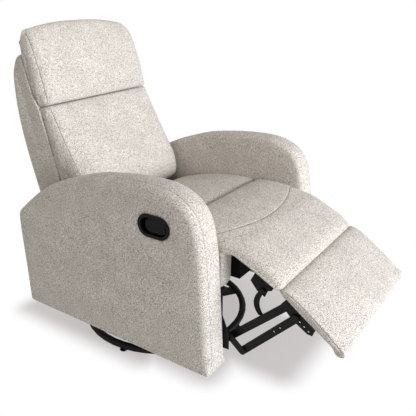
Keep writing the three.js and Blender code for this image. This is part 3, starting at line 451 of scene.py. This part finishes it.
# %% Let a cover settle as cloth
def settle(piece, held, pressure=1.5, frames=14, limit=6.0, sharing_passes=3):
    """The piece's mesh takes the places that its points reach as cloth, with some of them held."""
    piece.vertex_groups.new(name="held").add(held, 1.0, "REPLACE")
    start = np.array([v.co[:] for v in piece.data.vertices])
    modifier = piece.modifiers.new("cloth", "CLOTH")
    cloth = modifier.settings
    cloth.quality = 6
    cloth.mass = 0.25
    cloth.tension_stiffness = 20
    cloth.compression_stiffness = 20
    cloth.shear_stiffness = 6
    cloth.bending_stiffness = 0.3
    cloth.air_damping = 4
    cloth.shrink_min = -0.01
    cloth.use_pressure = True
    cloth.uniform_pressure_force = pressure
    cloth.effector_weights.gravity = 0
    cloth.vertex_group_mass = "held"
    modifier.point_cache.frame_start = 1
    modifier.point_cache.frame_end = frames
    for frame_number in range(1, frames + 1):
        bpy.context.scene.frame_set(frame_number)
    settled = piece.evaluated_get(bpy.context.evaluated_depsgraph_get())
    moved = np.array([v.co[:] for v in settled.data.vertices]) - start
    distance = np.linalg.norm(moved, axis=1)
    moved *= np.minimum(1, limit * MM / np.maximum(distance, 1e-9))[:, None]
    # Neighbouring points share their moves, so no single point is left as a spike
    edges = np.array([e.vertices[:] for e in piece.data.edges])
    both_ways = np.vstack([edges, edges[:, ::-1]])
    neighbours = np.maximum(np.bincount(both_ways[:, 0], minlength=len(start)), 1)[:, None]
    for _ in range(sharing_passes):
        shared = np.zeros_like(moved)
        np.add.at(shared, both_ways[:, 0], moved[both_ways[:, 1]])
        moved = (moved + shared / neighbours) / 2
    piece.modifiers.remove(modifier)
    piece.data.vertices.foreach_set("co", (start + moved).ravel())
    piece.data.update()
    bpy.context.scene.frame_set(1)
    print(piece.name, "settled by", round(float(distance.mean()) / MM, 1), "mm, at most",
          round(float(distance.max()) / MM, 1), "mm")

# %% [markdown]
# Three small helpers smooth values round a profile, make a mesh into a piece and shade it.

# %% Mesh helpers
def smoothed(values, passes):
    """Values round a closed profile, each pass shared with both neighbours."""
    for _ in range(passes):
        values = (np.roll(values, 1, axis=0) + 2 * values + np.roll(values, -1, axis=0)) / 4
    return values


def mesh_object(name, points, faces):
    """A piece of its own in the scene, made of points in metres and faces."""
    mesh = bpy.data.meshes.new(name)
    mesh.from_pydata(points, [], faces)
    piece = bpy.data.objects.new(name, mesh)
    bpy.context.collection.objects.link(piece)
    return piece


def smooth_shaded(piece, materials, indices=None):
    """The piece gets its materials, with the number of one for each face, and smooth shading."""
    for material in materials:
        piece.data.materials.append(material)
    if indices is not None:
        piece.data.polygons.foreach_set("material_index", indices)
    piece.data.polygons.foreach_set("use_smooth", [True] * len(piece.data.polygons))


print("a lone spike of 4, smoothed once:", smoothed(np.array([0, 0, 4, 0, 0]), 1))

# %% [markdown]
# ## One sewn form
# A form is a row of closed rings that follow its profile. They start in the middle of the right side
# panel, grow out to its edge, cross the band and close on the left panel. Faces join each ring to
# the next, and the faces between the two rings of a seam get the darker tweed, which is painted shade
# of the sunk seam.

# %% Build a sewn form
# For a seam that crosses the band: the rows beside it, how near to it the other rows may come, which
# rows lie on it and beside it, and how far along the profile its bow fades out
CROSSING_OFFSETS = (-9.0, -5.5, -2.8, -1.0, 1.0, 2.8, 5.5, 9.0)
CROSSING_CLEAR = 12.0
ON_CROSSING, BESIDE_CROSSING = 1.5, 3.5
BOW_FADES_OVER = 125.0
# A side panel swells to two thirds of its fullness so far in from its edge
FULLNESS_LENGTH = 30.0


def sewn_form(name, control, body, covers, centre=0.0, edge=7.0, puff=4.0, spacing=9.0, column=12.0,
              lay=None, seam_depth=1.3, seam_where=None, seam_share=0.1, power=2.6, shape=None,
              slot="tweed", panel_steps=7, arc_place=None, arc_bow=0.0, soft_where=None,
              deep=1.0, hold_where=None, middle_line=None):
    """A padded form between two side panels, round centre. lay turns profile points into (y, z).

    Rows lie spacing apart along the profile and column apart across the band. The band's crown is
    flatter in the middle with a higher power, and the side panels swell by puff. edge and seam_share
    may be pairs, for the right and the left, and a share of None has no seam. Seams sink by
    seam_depth and show only at the profile points that seam_where names. An edge rounds back deep
    times as far as it rounds in. soft_where gives the share of the edge's radius at each profile
    point. With arc_place, a seam crosses the band there, and its ends lie arc_bow back along the
    profile. hold_where names the profile points where the cover is stapled down, and with it the
    cover settles as cloth between them and its seams. A bent form's side panels close on
    middle_line. shape moves single points: (x, profile point) to the same."""
    edges = edge if isinstance(edge, tuple) else (edge, edge)
    seam_shares = seam_share if isinstance(seam_share, tuple) else (seam_share, seam_share)
    loop = plain = smooth_loop(control, spacing)
    crossing = []
    if arc_place is not None:
        distances, arc_at = rows_for_seam(plain, arc_place, CROSSING_OFFSETS, CROSSING_CLEAR)
        loop = rows_at(plain, distances)
        far = np.abs(distances - arc_at)
        bow = np.clip(1 - np.maximum(0, far - CROSSING_CLEAR) / BOW_FADES_OVER, 0, 1)
        bow = bow ** 2 * (3 - 2 * bow)
        crossing = [i for i in range(len(loop)) if far[i] < ON_CROSSING]
        crossing_sink = np.where(far < ON_CROSSING, 1.1, np.where(far < BESIDE_CROSSING, 0.5, 0.0))
    rows = len(loop)
    crown = loop[:, 2]
    half = loop[:, 3]
    widest = half.max()
    middle_half = float(np.median(half))
    soft = smoothed(np.array([soft_where(*p) if soft_where else 1.0 for p in loop[:, :2]]), 4)
    sewn_here = [seam_where is None or seam_where(*p) for p in loop[:, :2]]
    points = []

    def line_at(t):
        """The profile at a share t of the half width, bowed back where a seam crosses the band."""
        return rows_at(plain, distances - arc_bow * t * t * bow) if crossing else loop

    def add_ring(across, profile):
        """One ring of points, and the number of its first."""
        for x, (a, b) in zip(across, profile):
            if shape is not None:
                x, a, b = shape(x, a, b)
            y, z = lay(a, b) if lay else (a, b)
            points.append(spot(centre + x, y, z))
        return len(points) - rows

    def band_ring(across, inset, t):
        """A ring of the band or an edge, set in from the profile."""
        line = line_at(t)
        if crossing:
            inset = inset + crossing_sink
        return add_ring(across, line[:, :2] + inward_normals(line) * inset[:, None])

    def panel_rings(sign, radius):
        """The rings of one side panel, from its edge to its middle: (first point, is seam)."""
        line = line_at(1.0)
        side_line = line[:, :2] + inward_normals(line) * (crown + radius * deep * soft)[:, None]
        if middle_line is None:
            middle = side_line.mean(axis=0)
            shares, passes = np.linspace(1, 0, panel_steps + 2)[1:-1], 6
        else:
            middle = nearest_on(middle_line, side_line)
            shares, passes = (0.6, 0.25, 0.0), 0
        side_shape = side_line - middle
        built = []
        for share in shares:
            side_shape = smoothed(side_shape, passes)
            ring = middle + side_shape * share
            from_edge = np.sqrt(((ring[:, None] - side_line[None]) ** 2).sum(axis=2)).min(axis=1)
            swell = puff * (1 - np.exp(-(from_edge / FULLNESS_LENGTH)))
            across = sign * (middle_half + (half - middle_half) * share + swell)
            built.append((add_ring(across, ring), False))
        return built[::-1]

    def edge_rings(sign, radius, share):
        """The rings round one edge, from the panel to the band: (first point, is seam)."""
        built = []
        for inward, drop, on_seam in edge_section(radius, share, seam_depth, deep):
            t = 1 - inward / widest
            reach = half - radius * soft
            fall = crown * np.minimum(1, ((half - inward * soft) / reach) ** power)
            built.append((band_ring(sign * (half - inward * soft), fall + drop * soft, t), on_seam))
        return built

    order = panel_rings(-1, edges[0])
    order += edge_rings(-1, edges[0], seam_shares[0])
    # The band's even columns start clear of each edge and of the rows beside its seam
    start = [radius + (max(0.0, SEAM_OFFSETS[-1] + ((share or 0) - 1) * radius * math.pi / 2) + 5)
             for share, radius in zip(seam_shares, edges)]
    inner = int(max(5, round((2 * widest - sum(start)) / column)))
    for step in np.linspace(0, 1, inner + 1):
        low = -(half - start[0] * soft)
        high = half - start[1] * soft
        across = low + (high - low) * step
        reach = half - np.where(across < 0, edges[0], edges[1]) * soft
        t = float((across / half).mean())
        order.append((band_ring(across, crown * np.abs(across / reach) ** power, t), False))
    order += edge_rings(1, edges[1], seam_shares[1])[::-1]
    order += panel_rings(1, edges[1])[::-1]

    faces = []
    indices = []
    for (low, low_seam), (high, high_seam) in zip(order[:-1], order[1:]):
        for i in range(rows):
            j = (i + 1) % rows
            faces.append((low + i, low + j, high + j, high + i))
            # Faces on a seam, and on the seam that crosses the band, get the darker tweed: painted
            # shade of the sunk seam
            sewn = low_seam and high_seam and sewn_here[i]
            crossed = len(crossing) == 2 and i == crossing[0]
            indices.append(1 if sewn or crossed else 0)
    if middle_line is None:
        for first, sign in ((order[0][0], -1), (order[-1][0], 1)):
            hub = len(points)
            points.append(tuple(np.array(points[first:first + rows]).mean(axis=0)))
            for i in range(rows):
                pair = (first + i, first + (i + 1) % rows)
                faces.append((hub, *pair) if sign > 0 else (hub, *pair[::-1]))
                indices.append(0)
    piece = mesh_object(name, points, faces)
    smooth_shaded(piece, [slot_materials[slot], seam_shade_tweed], indices)
    facing = bmesh.new()
    facing.from_mesh(piece.data)
    bmesh.ops.recalc_face_normals(facing, faces=facing.faces)
    facing.to_mesh(piece.data)
    facing.free()
    if hold_where is not None:
        stapled = [hold_where(*p) for p in loop[:, :2]]
        settle(piece, [first + i for first, on_seam in order for i in range(rows)
                       if stapled[i] or (on_seam and sewn_here[i])])
    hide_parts(*covers)
    if body:
        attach(piece, body)
    print(name, "has", len(points), "points")
    return piece

# %% [markdown]
# ## Arms
# Each arm is a foam-wrapped box with a round-topped profile. The outer panel meets the band in a
# seam that shows round the front. The band is a little crowned across, and the outer panel is
# slightly full.

# %% Arms
def arm_softness(y, z):
    """The band's edges are round above and in front, and tight at the foot and behind."""
    return min(1.0, 0.2 + max(0.0, z - 112) / 40) if y < 335 else 0.3


ARM_HALF, ARM_MIDDLE = 46.3, 313.5
arm_outline = [(330, 105, 0), (340, 106.5, 0), (343, 118, 1), (346, 240, 2), (349, 422, 2),
               (344, 455, 3), (325, 480, 4), (290, 508, 4), (250, 538, 4), (206, 564, 4),
               (141, 593, 4), (69, 618, 4), (2, 638, 4), (-92, 653, 4), (-171, 661, 4),
               (-227, 663, 4), (-280, 660, 4), (-318, 651, 4), (-352, 635, 4), (-380, 612, 4),
               (-400, 581, 4), (-412, 540, 4), (-418, 500, 3), (-424, 448, 3), (-430, 320, 2),
               (-436, 184, 1), (-439, 118, 1), (-438, 107, 0), (-426, 105, 0), (-200, 105, 0),
               (100, 105, 0)]
arm_control = [(y, z, sides, ARM_HALF) for y, z, sides in arm_outline]
LATCH_Y, LATCH_Z = -255.0, 543.0
BEZEL_HALF_LENGTH, BEZEL_HALF_HEIGHT = 56.5, 35.0
CLAMP_DEPTH = 4.2


def beside_latch(x, y, z):
    """The cover is drawn in a little where the latch bezel clamps it."""
    if x < -ARM_HALF:
        far = math.hypot((y - LATCH_Y) / BEZEL_HALF_LENGTH, (z - LATCH_Z) / BEZEL_HALF_HEIGHT)
        x += CLAMP_DEPTH * max(0.0, 1 - max(0.0, far - 1.05) / 0.8) ** 2
    return x, y, z


# Only the outer edge of each arm is full and has a seam
OUTER_EDGE, INNER_EDGE = 25.0, 15.0
arm_settings = {"right": (-1, (OUTER_EDGE, INNER_EDGE), (0.97, None), beside_latch),
                "left": (1, (INNER_EDGE, OUTER_EDGE), (None, 0.97), None)}
arm_covers = {}
for word, (sign, edges, seam_shares, shape) in arm_settings.items():
    arm_covers[word] = sewn_form("arm_cover_" + word, arm_control, "chair", ["arm_" + word],
                                 centre=sign * ARM_MIDDLE, edge=edges, seam_share=seam_shares,
                                 puff=3.5, column=11.0, seam_depth=1.6,
                                 seam_where=lambda y, z: y < -100 and z > 120,
                                 shape=shape, panel_steps=22, soft_where=arm_softness)

# %% [markdown]
# The latch is let into the right arm, so the cover there has an opening of the bezel's own outline,
# 107 by 64 mm.

# %% Opening for the latch
def stadium_cutter(name, length, height, x0, x1, y, z, steps=16):
    """A bar with round ends, from x0 to x1, to cut with."""
    ring = []
    radius = height / 2
    for end, turn in ((-1, 90), (1, -90)):
        for i in range(steps + 1):
            angle = math.radians(turn + 180 * i / steps)
            ring.append((y + end * (length / 2 - radius) + radius * math.cos(angle),
                         z + radius * math.sin(angle)))
    points = [spot(x, a, b) for x in (x0, x1) for a, b in ring]
    count = len(ring)
    faces = [(i, (i + 1) % count, count + (i + 1) % count, count + i) for i in range(count)]
    faces += [tuple(range(count))[::-1], tuple(range(count, 2 * count))]
    return mesh_object(name, points, faces)


def apply_modifiers(piece):
    """The piece keeps the mesh that its modifiers make."""
    bpy.context.view_layer.update()
    shown = piece.evaluated_get(bpy.context.evaluated_depsgraph_get())
    made = bpy.data.meshes.new_from_object(shown)
    old = piece.data
    piece.modifiers.clear()
    piece.data = made
    bpy.data.meshes.remove(old)


cutter = stadium_cutter("latch_cutter", 107, 64, -380, -330, LATCH_Y, LATCH_Z)
opening = arm_covers["right"].modifiers.new("opening", "BOOLEAN")
opening.operation = "DIFFERENCE"
opening.solver = "EXACT"
opening.object = cutter
apply_modifiers(arm_covers["right"])
bpy.data.objects.remove(cutter)
print("the latch opening leaves", len(arm_covers["right"].data.vertices), "points on the right arm")

# %% [markdown]
# ## Back
# The back has a padded shell, a deep lumbar cushion that swells above the seat, and a headrest that
# rolls back over the shell's top. Their profiles are drawn along the leaning back: the first number
# goes up the back, and the second forwards from the shell.

# %% Lay a profile on the leaning back
BACK_LEAN = math.radians(14.7)
SHELL_FOOT_Y, SHELL_FOOT_Z = 213, 305


def on_back(along, depth):
    """(y, z) of a point so far up the back and so far in front of the shell."""
    y = SHELL_FOOT_Y + along * math.sin(BACK_LEAN) - depth * math.cos(BACK_LEAN)
    z = SHELL_FOOT_Z + along * math.cos(BACK_LEAN) + depth * math.sin(BACK_LEAN)
    return y, z


print("the top of the shell lies at", [round(v) for v in on_back(676, 0)])

# %% Back shell
shell_control = [(2, -8, 0, 246), (40, 2, 0, 250), (110, 16, 0, 253), (200, 28, 0, 254),
                 (450, 28, 0, 254), (494, 25, 0, 254), (520, 17, 0, 254), (560, 11, 0, 253),
                 (640, 5, 0, 250), (669, -2, 2, 246), (679, -14, 3, 243), (678, -32, 5, 242),
                 (668, -56, 14, 244), (640, -82, 22, 248), (600, -95, 24, 251), (560, -101, 22, 253),
                 (511, -104, 16, 254), (429, -106, 8, 254), (343, -107, 6, 254), (256, -106, 6, 254),
                 (150, -102, 6, 254), (40, -88, 5, 250), (6, -66, 3, 247), (0, -34, 0, 246)]
sewn_form("shell_cover", shell_control, "back", ["back_shell"], edge=15.0, puff=1.0, lay=on_back,
          seam_share=None, soft_where=lambda a, d: 0.2 if d > 0 else 1.0)

# %% [markdown]
# The two cushions in front of the shell are tight where they meet it and full in front. So one
# function says how much of an edge's radius is left at each depth.

# %% Rounding of the back cushions
def rounding_of(depth, flat, round_at):
    """Cushion edges are tight where they meet the shell and full in front of it."""
    share = min(1.0, max(0.0, (depth - flat) / (round_at - flat)))
    return 0.25 + 0.75 * share * share * (3 - 2 * share)


print("halfway round, an edge keeps", rounding_of(54, 36, 72), "of its radius")

# %% Lumbar cushion
lumbar_control = [(124, 29, 0, 245), (117, 45, 2, 247), (115, 75, 4, 249), (118, 104, 5, 250),
                  (130, 128, 6, 251), (152, 142, 7, 252), (190, 148, 7, 252), (230, 145, 7, 252),
                  (280, 132, 7, 252), (320, 121, 7, 252), (357, 111, 7, 252), (400, 99, 6, 251),
                  (434, 91, 6, 250), (462, 83, 5, 249), (484, 76, 3, 249), (491, 68, 1, 249),
                  (494.5, 54, 0, 249), (494.5, 40, 0, 249), (493, 26, 0, 249), (450, 29, 0, 250),
                  (250, 29, 0, 250)]
sewn_form("lumbar_cover", lumbar_control, "back", ["lumbar_cushion"], edge=(27.0, 17.0), puff=3.0,
          lay=on_back, seam_share=0.66, seam_where=lambda a, d: d > 45, deep=1.7,
          hold_where=lambda a, d: d < 50 or a > 488 or a < 125,
          soft_where=lambda a, d: rounding_of(d, 36, 72) * (0.5 if a > 488 else 1.0))

# %% Headrest
head_control = [(497, 25, 0, 249), (496, 38, 0, 249), (496, 54, 0, 249), (498, 69, 2, 249),
                (507, 77, 4, 250), (535, 80, 6, 251), (593, 82, 7, 251), (653, 78, 8, 250),
                (690, 75, 9, 248), (715, 71, 12, 245), (738, 62, 15, 241), (755, 51, 18, 235),
                (765, 36, 19, 228), (766, 22, 19, 223), (756, 9, 15, 225), (730, 4, 7, 235),
                (695, 5, 1, 244), (640, 6, 0, 249), (560, 12, 0, 250), (520, 18, 0, 250)]
sewn_form("headrest_cover", head_control, "back", ["headrest_cushion"], edge=(28.0, 17.0), puff=3.0,
          lay=on_back, seam_share=0.62, seam_where=lambda a, d: d > 24 and a < 752, deep=1.7,
          hold_where=lambda a, d: d < 25 or a < 502 or a > 730,
          soft_where=lambda a, d: 0.45 if a < 500 else rounding_of(d, 14, 62))

# %% [markdown]
# ## Seat
# The rear cushion is a plain crowned pad. In front of it one cover runs over the front pad, bends at
# the fold and goes down over the middle footrest panel. A curved seam crosses it where the pad's
# top is joined to the leg cover.

# %% Rear seat cushion
seat_control = [(-224, 440, 2, 263), (-225, 496, 4, 264), (-222, 504, 6, 265), (-211, 510, 8, 265.5),
                (-160, 512, 9, 265.5), (-100, 508, 10, 265.5), (-40, 498, 10, 265.5),
                (20, 484, 10, 265), (70, 469, 9, 264), (98, 456, 6, 262), (112, 436, 3, 260),
                (114, 400, 0, 259), (108, 374, 0, 258), (60, 379, 0, 260), (-80, 401, 0, 262),
                (-220, 424, 0, 262)]
sewn_form("seat_cover", seat_control, "chair", ["seat_cushion"], edge=8.0, puff=0.5,
          seam_where=lambda y, z: z > 430)

# %% Cover over the front pad and the middle panel
FOLD_Y, FOLD_Z = -470.0, 491.0
MID_SLOPE = math.radians(26.7)


def down_slope(y, z, slope, along, height):
    """(y, z) of a point so far down a slope that starts at y and z, and so far above it."""
    return (y - along * math.cos(slope) - height * math.sin(slope),
            z - along * math.sin(slope) + height * math.cos(slope))


def on_mid(along, height):
    """(y, z) of a point so far down the middle panel from the fold and so far above it."""
    return down_slope(FOLD_Y, FOLD_Z, MID_SLOPE, along, height)


leg_control = [(-237, 440, 0, 262), (-235.5, 498, 3, 263), (-239, 507, 4, 264), (-250, 513, 5, 264.5),
               (-280, 517, 5, 264.5), (-320, 518, 5, 264.5), (-360, 515, 5, 264.5),
               (-400, 510, 4, 263.5), (-435, 503, 4, 262)]
leg_control += [(*on_mid(along, height), sides, half)
                for along, height, sides, half in (
                    (0, 5, 4, 261), (40, 8, 4, 260), (80, 9, 4, 259), (115, 8, 4, 259),
                    (138, 4, 4, 259), (154, -4, 3, 259), (161, -14, 1, 259), (158, -26, 3, 258),
                    (147, -33, 5, 258), (80, -34.3, 6, 258), (25, -34, 4, 258))]
leg_control += [(-447, 457, 9, 259), (-428, 456, 6, 261), (-360, 444, 0, 262), (-260, 428, 0, 262)]


def leg_softness(y, z):
    """The cover rolls softly over the panel's long sides and lies flat below."""
    top = FOLD_Z - max(0.0, FOLD_Y - y) * math.tan(MID_SLOPE) - 6
    return 1.0 if z > top - 8 else 0.35


leg_middle = [(-255, 466), (-300, 470), (-360, 471), (-400, 473), (-430, 474), (-446, 474)]
leg_middle += [on_mid(along, -19) for along in (8, 40, 80, 120, 140, 152)]
leg_cover = sewn_form("leg_cover", leg_control, None,
                      ["seat_front_pad", "footrest_bridge", "mid_ottoman_pad"],
                      edge=20.0, puff=0.5, column=11.0, seam_share=None, power=3.6,
                      soft_where=leg_softness, arc_place=(-433, 503), arc_bow=62.0,
                      middle_line=leg_middle)
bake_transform(leg_cover)

# %% [markdown]
# ## Lower footrest panel
# The lower panel hangs from the crease below the middle one. Its cover goes round the board too, so
# no wood shows. The pull of the corner stitches draws its front corners out.

# %% Lower footrest panel
CREASE = on_mid(160, 0)
FOOT_SLOPE = math.radians(36.9)


def on_foot(along, height):
    """(y, z) of a point so far down the lower panel from the crease and so far above it."""
    return down_slope(*CREASE, FOOT_SLOPE, along, height)


foot_control = [(5, -28, 8, 258), (-1, -22, 4, 259), (2, -12, 2, 260), (12, -3, 3, 260),
                (32, 4, 4, 260), (68, 9, 5, 260), (120, 10, 5, 260), (170, 9, 4, 260.5),
                (205, 6, 3, 261), (226, 2, 1, 262), (235, -3, 0, 262.5), (237, -12, 0, 262.5),
                (236.5, -24, 12, 262), (231, -36, 25, 261), (214, -43, 28, 260), (150, -44, 25, 259),
                (60, -44, 22, 259), (20, -42, 20, 258)]


def rising(value, start, length):
    """A share that rises from nothing at start to 1 one length further on."""
    return min(1.0, max(0.0, (value - start) / length) ** 2)


def curled_ears(x, along, height):
    """The front corners are drawn out into small ears, and the far one curls up."""
    ear = rising(along, 195, 40) * rising(abs(x), 200, 62)
    if x < 0:
        return x - 2.0 * ear, along, height + 1.5 * ear
    return x + 1.5 * ear - 4.0 * ear ** 4, along - 13.0 * ear ** 4, height + 5.0 * ear


sewn_form("foot_cover", foot_control, "footrest", ["footrest_pad", "footrest_board"], edge=5.0,
          puff=0.8, lay=on_foot, column=11.0, spacing=7.0, seam_share=0.2, power=4.0,
          seam_where=lambda a, h: h > -4 and a < 225,
          soft_where=lambda a, h: 0.35 if a > 220 or h < -12 else 1.0, shape=curled_ears)

# %% [markdown]
# ## Seat side rails
# A padded rail closes each side of the seat box, and its rounded end shows beside the near arm.

# %% Padded side rails
RAIL_HALF, RAIL_MIDDLE = 28.8, 237.7
rail_outline = [(-423.5, 463, 1), (-424.5, 440, 1), (-424.5, 400, 2), (-424, 370, 2), (-415, 351, 2),
                (-398, 345, 1), (-200, 345, 0), (100, 345, 0), (184, 345, 0), (185, 356, 0),
                (100, 369, 0), (-200, 416, 0), (-380, 462, 0), (-412, 469, 0)]
rail_control = [(y, z, sides, RAIL_HALF) for y, z, sides in rail_outline]
for word, sign in (("right", -1), ("left", 1)):
    sewn_form("side_rail_cover_" + word, rail_control, "chair", ["seat_side_rail_" + word],
              centre=sign * RAIL_MIDDLE, edge=12.0, puff=0.5, column=9.0)

# %% [markdown]
# ## Lining under the seat
# A black spun cloth is stapled under the seat box, and sags slightly between its edges.

# %% Dust cloth
def bulge(share):
    """Nothing at both ends and 1 in the middle, and fuller than a parabola."""
    return (4 * share * (1 - share)) ** 0.7


def sagging_sheet(name, x0, x1, y0, y1, z, sag, columns=16, rows=14):
    """A sheet held round its edges that hangs by sag in the middle."""
    points = []
    faces = []
    for i in range(rows + 1):
        for j in range(columns + 1):
            u, v = j / columns, i / rows
            points.append(spot(x0 + (x1 - x0) * u, y0 + (y1 - y0) * v, z - sag * bulge(u) * bulge(v)))
    for i in range(rows):
        for j in range(columns):
            a = i * (columns + 1) + j
            faces.append((a, a + 1, a + columns + 2, a + columns + 1))
    piece = mesh_object(name, points, faces)
    smooth_shaded(piece, [lining])
    return piece


dust_cloth = sagging_sheet("dust_cloth", -206.5, 206.5, -314, 109, 347, 5)
thickness = dust_cloth.modifiers.new("cloth_thickness", "SOLIDIFY")
thickness.thickness = 0.6 * MM
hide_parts("seat_dust_cloth")
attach(dust_cloth, "chair")
print("lining laid")

# %% [markdown]
# ## Light, floor and background
# The photograph is a plain studio picture: a broad light far in front of the chair, a weak one above
# it and an even fill from all round. The camera itself sees only white behind the chair.

# %% World
world = bpy.data.worlds.new("studio")
world.use_nodes = True
bpy.context.scene.world = world
world_tree = world.node_tree
world_tree.nodes.clear()
rays = add_node(world_tree, "ShaderNodeLightPath")
dim = add_node(world_tree, "ShaderNodeBackground", {"Color": linear("#F4F3ED"), "Strength": 0.55})
white = add_node(world_tree, "ShaderNodeBackground", {"Color": linear("#FFFFFF"), "Strength": 1.0})
mixed = add_node(world_tree, "ShaderNodeMixShader", {},
                 {0: rays.outputs["Is Camera Ray"], 1: dim.outputs[0], 2: white.outputs[0]})
add_node(world_tree, "ShaderNodeOutputWorld", {}, {"Surface": mixed.outputs[0]})
print("the world is", world.name)

# %% Lamps
def soft_lamp(name, place, aim, size, power, colour="#FFFFFF"):
    """A round lamp so many metres wide, at one spot and turned to another."""
    data = bpy.data.lights.new(name, "AREA")
    data.shape = "DISK"
    data.size = size
    data.energy = power
    data.color = linear(colour)[:3]
    lamp = bpy.data.objects.new(name, data)
    lamp.location = spot(*place)
    direction = np.array(spot(*aim)) - np.array(spot(*place))
    level = math.hypot(direction[0], direction[1])
    lamp.rotation_euler = (math.atan2(level, -direction[2]), 0.0,
                           math.atan2(direction[1], direction[0]) - math.pi / 2)
    bpy.context.collection.objects.link(lamp)


soft_lamp("front_light", (-200, -6100, 1100), (0, -100, 480), 2.9, 408, "#F5F9FF")
soft_lamp("top_light", (-300, -500, 3000), (0, 0, 300), 2.2, 8)
print("lamps are set")

# %% [markdown]
# The floor is white paper. For the camera, a painted shadow lies on it: an even grey under the chair
# and its footrest, which burns out to white within a hand's width. Three rectangles stand for the
# places that it covers, and each point of the floor is as grey as it is near to one of them.

# %% Floor
REACH = 9000
corners = [spot(REACH * a, REACH * b, 0) for a, b in ((-1, -1), (1, -1), (1, 1), (-1, 1))]
floor = mesh_object("floor", corners, [(0, 1, 2, 3)])
floor_material, floor_tree = new_material("white_floor")
floor_rays = add_node(floor_tree, "ShaderNodeLightPath")
paper = add_node(floor_tree, "ShaderNodeBsdfDiffuse", {"Color": linear("#F0F0F0")})
floor_place = object_place(floor_tree)


def vector_step(operation, vector, other=(0, 0, 0)):
    """One step of vector arithmetic."""
    node = add_node(floor_tree, "ShaderNodeVectorMath", {"operation": operation, 1: tuple(other)},
                    {0: vector})
    return node.outputs["Value" if operation == "LENGTH" else "Vector"]


def distance_from(x0, x1, y0, y1):
    """Metres from each floor point to a rectangle given in millimetres from the turning axis."""
    low, high = np.array(spot(x0, y0, 0)), np.array(spot(x1, y1, 0))
    away = vector_step("ABSOLUTE", vector_step("SUBTRACT", floor_place, (low + high) / 2))
    outside = vector_step("MAXIMUM", vector_step("SUBTRACT", away, (high - low) / 2))
    return vector_step("LENGTH", outside)


# Painted shadow under the rear of the chair, under its front and under the footrest, and the width of
# its blur
SHADOWS = ((-280, 400, -115, 430), (-235, 400, -340, -115), (-92, 170, -548, -340))
BLUR = 0.112
beside = distance_from(*SHADOWS[0])
for shadow in SHADOWS[1:]:
    beside = add_node(floor_tree, "ShaderNodeMath", {"operation": "MINIMUM"},
                      {0: beside, 1: distance_from(*shadow)}).outputs[0]
# The painted shadow fades to white within the blur's width of the rectangles
painted_shadow_fade = add_node(floor_tree, "ShaderNodeMapRange",
                 {"interpolation_type": "SMOOTHSTEP", "From Min": 0.0, "From Max": BLUR},
                 {"Value": beside})
# Near the chair the camera sees this grey as painted shadow, mixed with the lit paper
painted_shadow_grey = add_node(floor_tree, "ShaderNodeEmission", {"Color": linear("#D4D0CF"), "Strength": 1.0})
PAINTED_SHADOW_SHARE = 0.75
both = add_node(floor_tree, "ShaderNodeMixShader", {0: PAINTED_SHADOW_SHARE},
                {1: paper.outputs[0], 2: painted_shadow_grey.outputs[0]})
pure = add_node(floor_tree, "ShaderNodeEmission", {"Color": linear("#FFFFFF"), "Strength": 1.0})
ground = add_node(floor_tree, "ShaderNodeMixShader", {},
                  {0: painted_shadow_fade.outputs["Result"], 1: both.outputs[0], 2: pure.outputs[0]})
shown = add_node(floor_tree, "ShaderNodeMixShader", {},
                 {0: floor_rays.outputs["Is Camera Ray"], 1: paper.outputs[0], 2: ground.outputs[0]})
finish_material(floor_tree, shown)
floor.data.materials.append(floor_material)
print("floor laid")
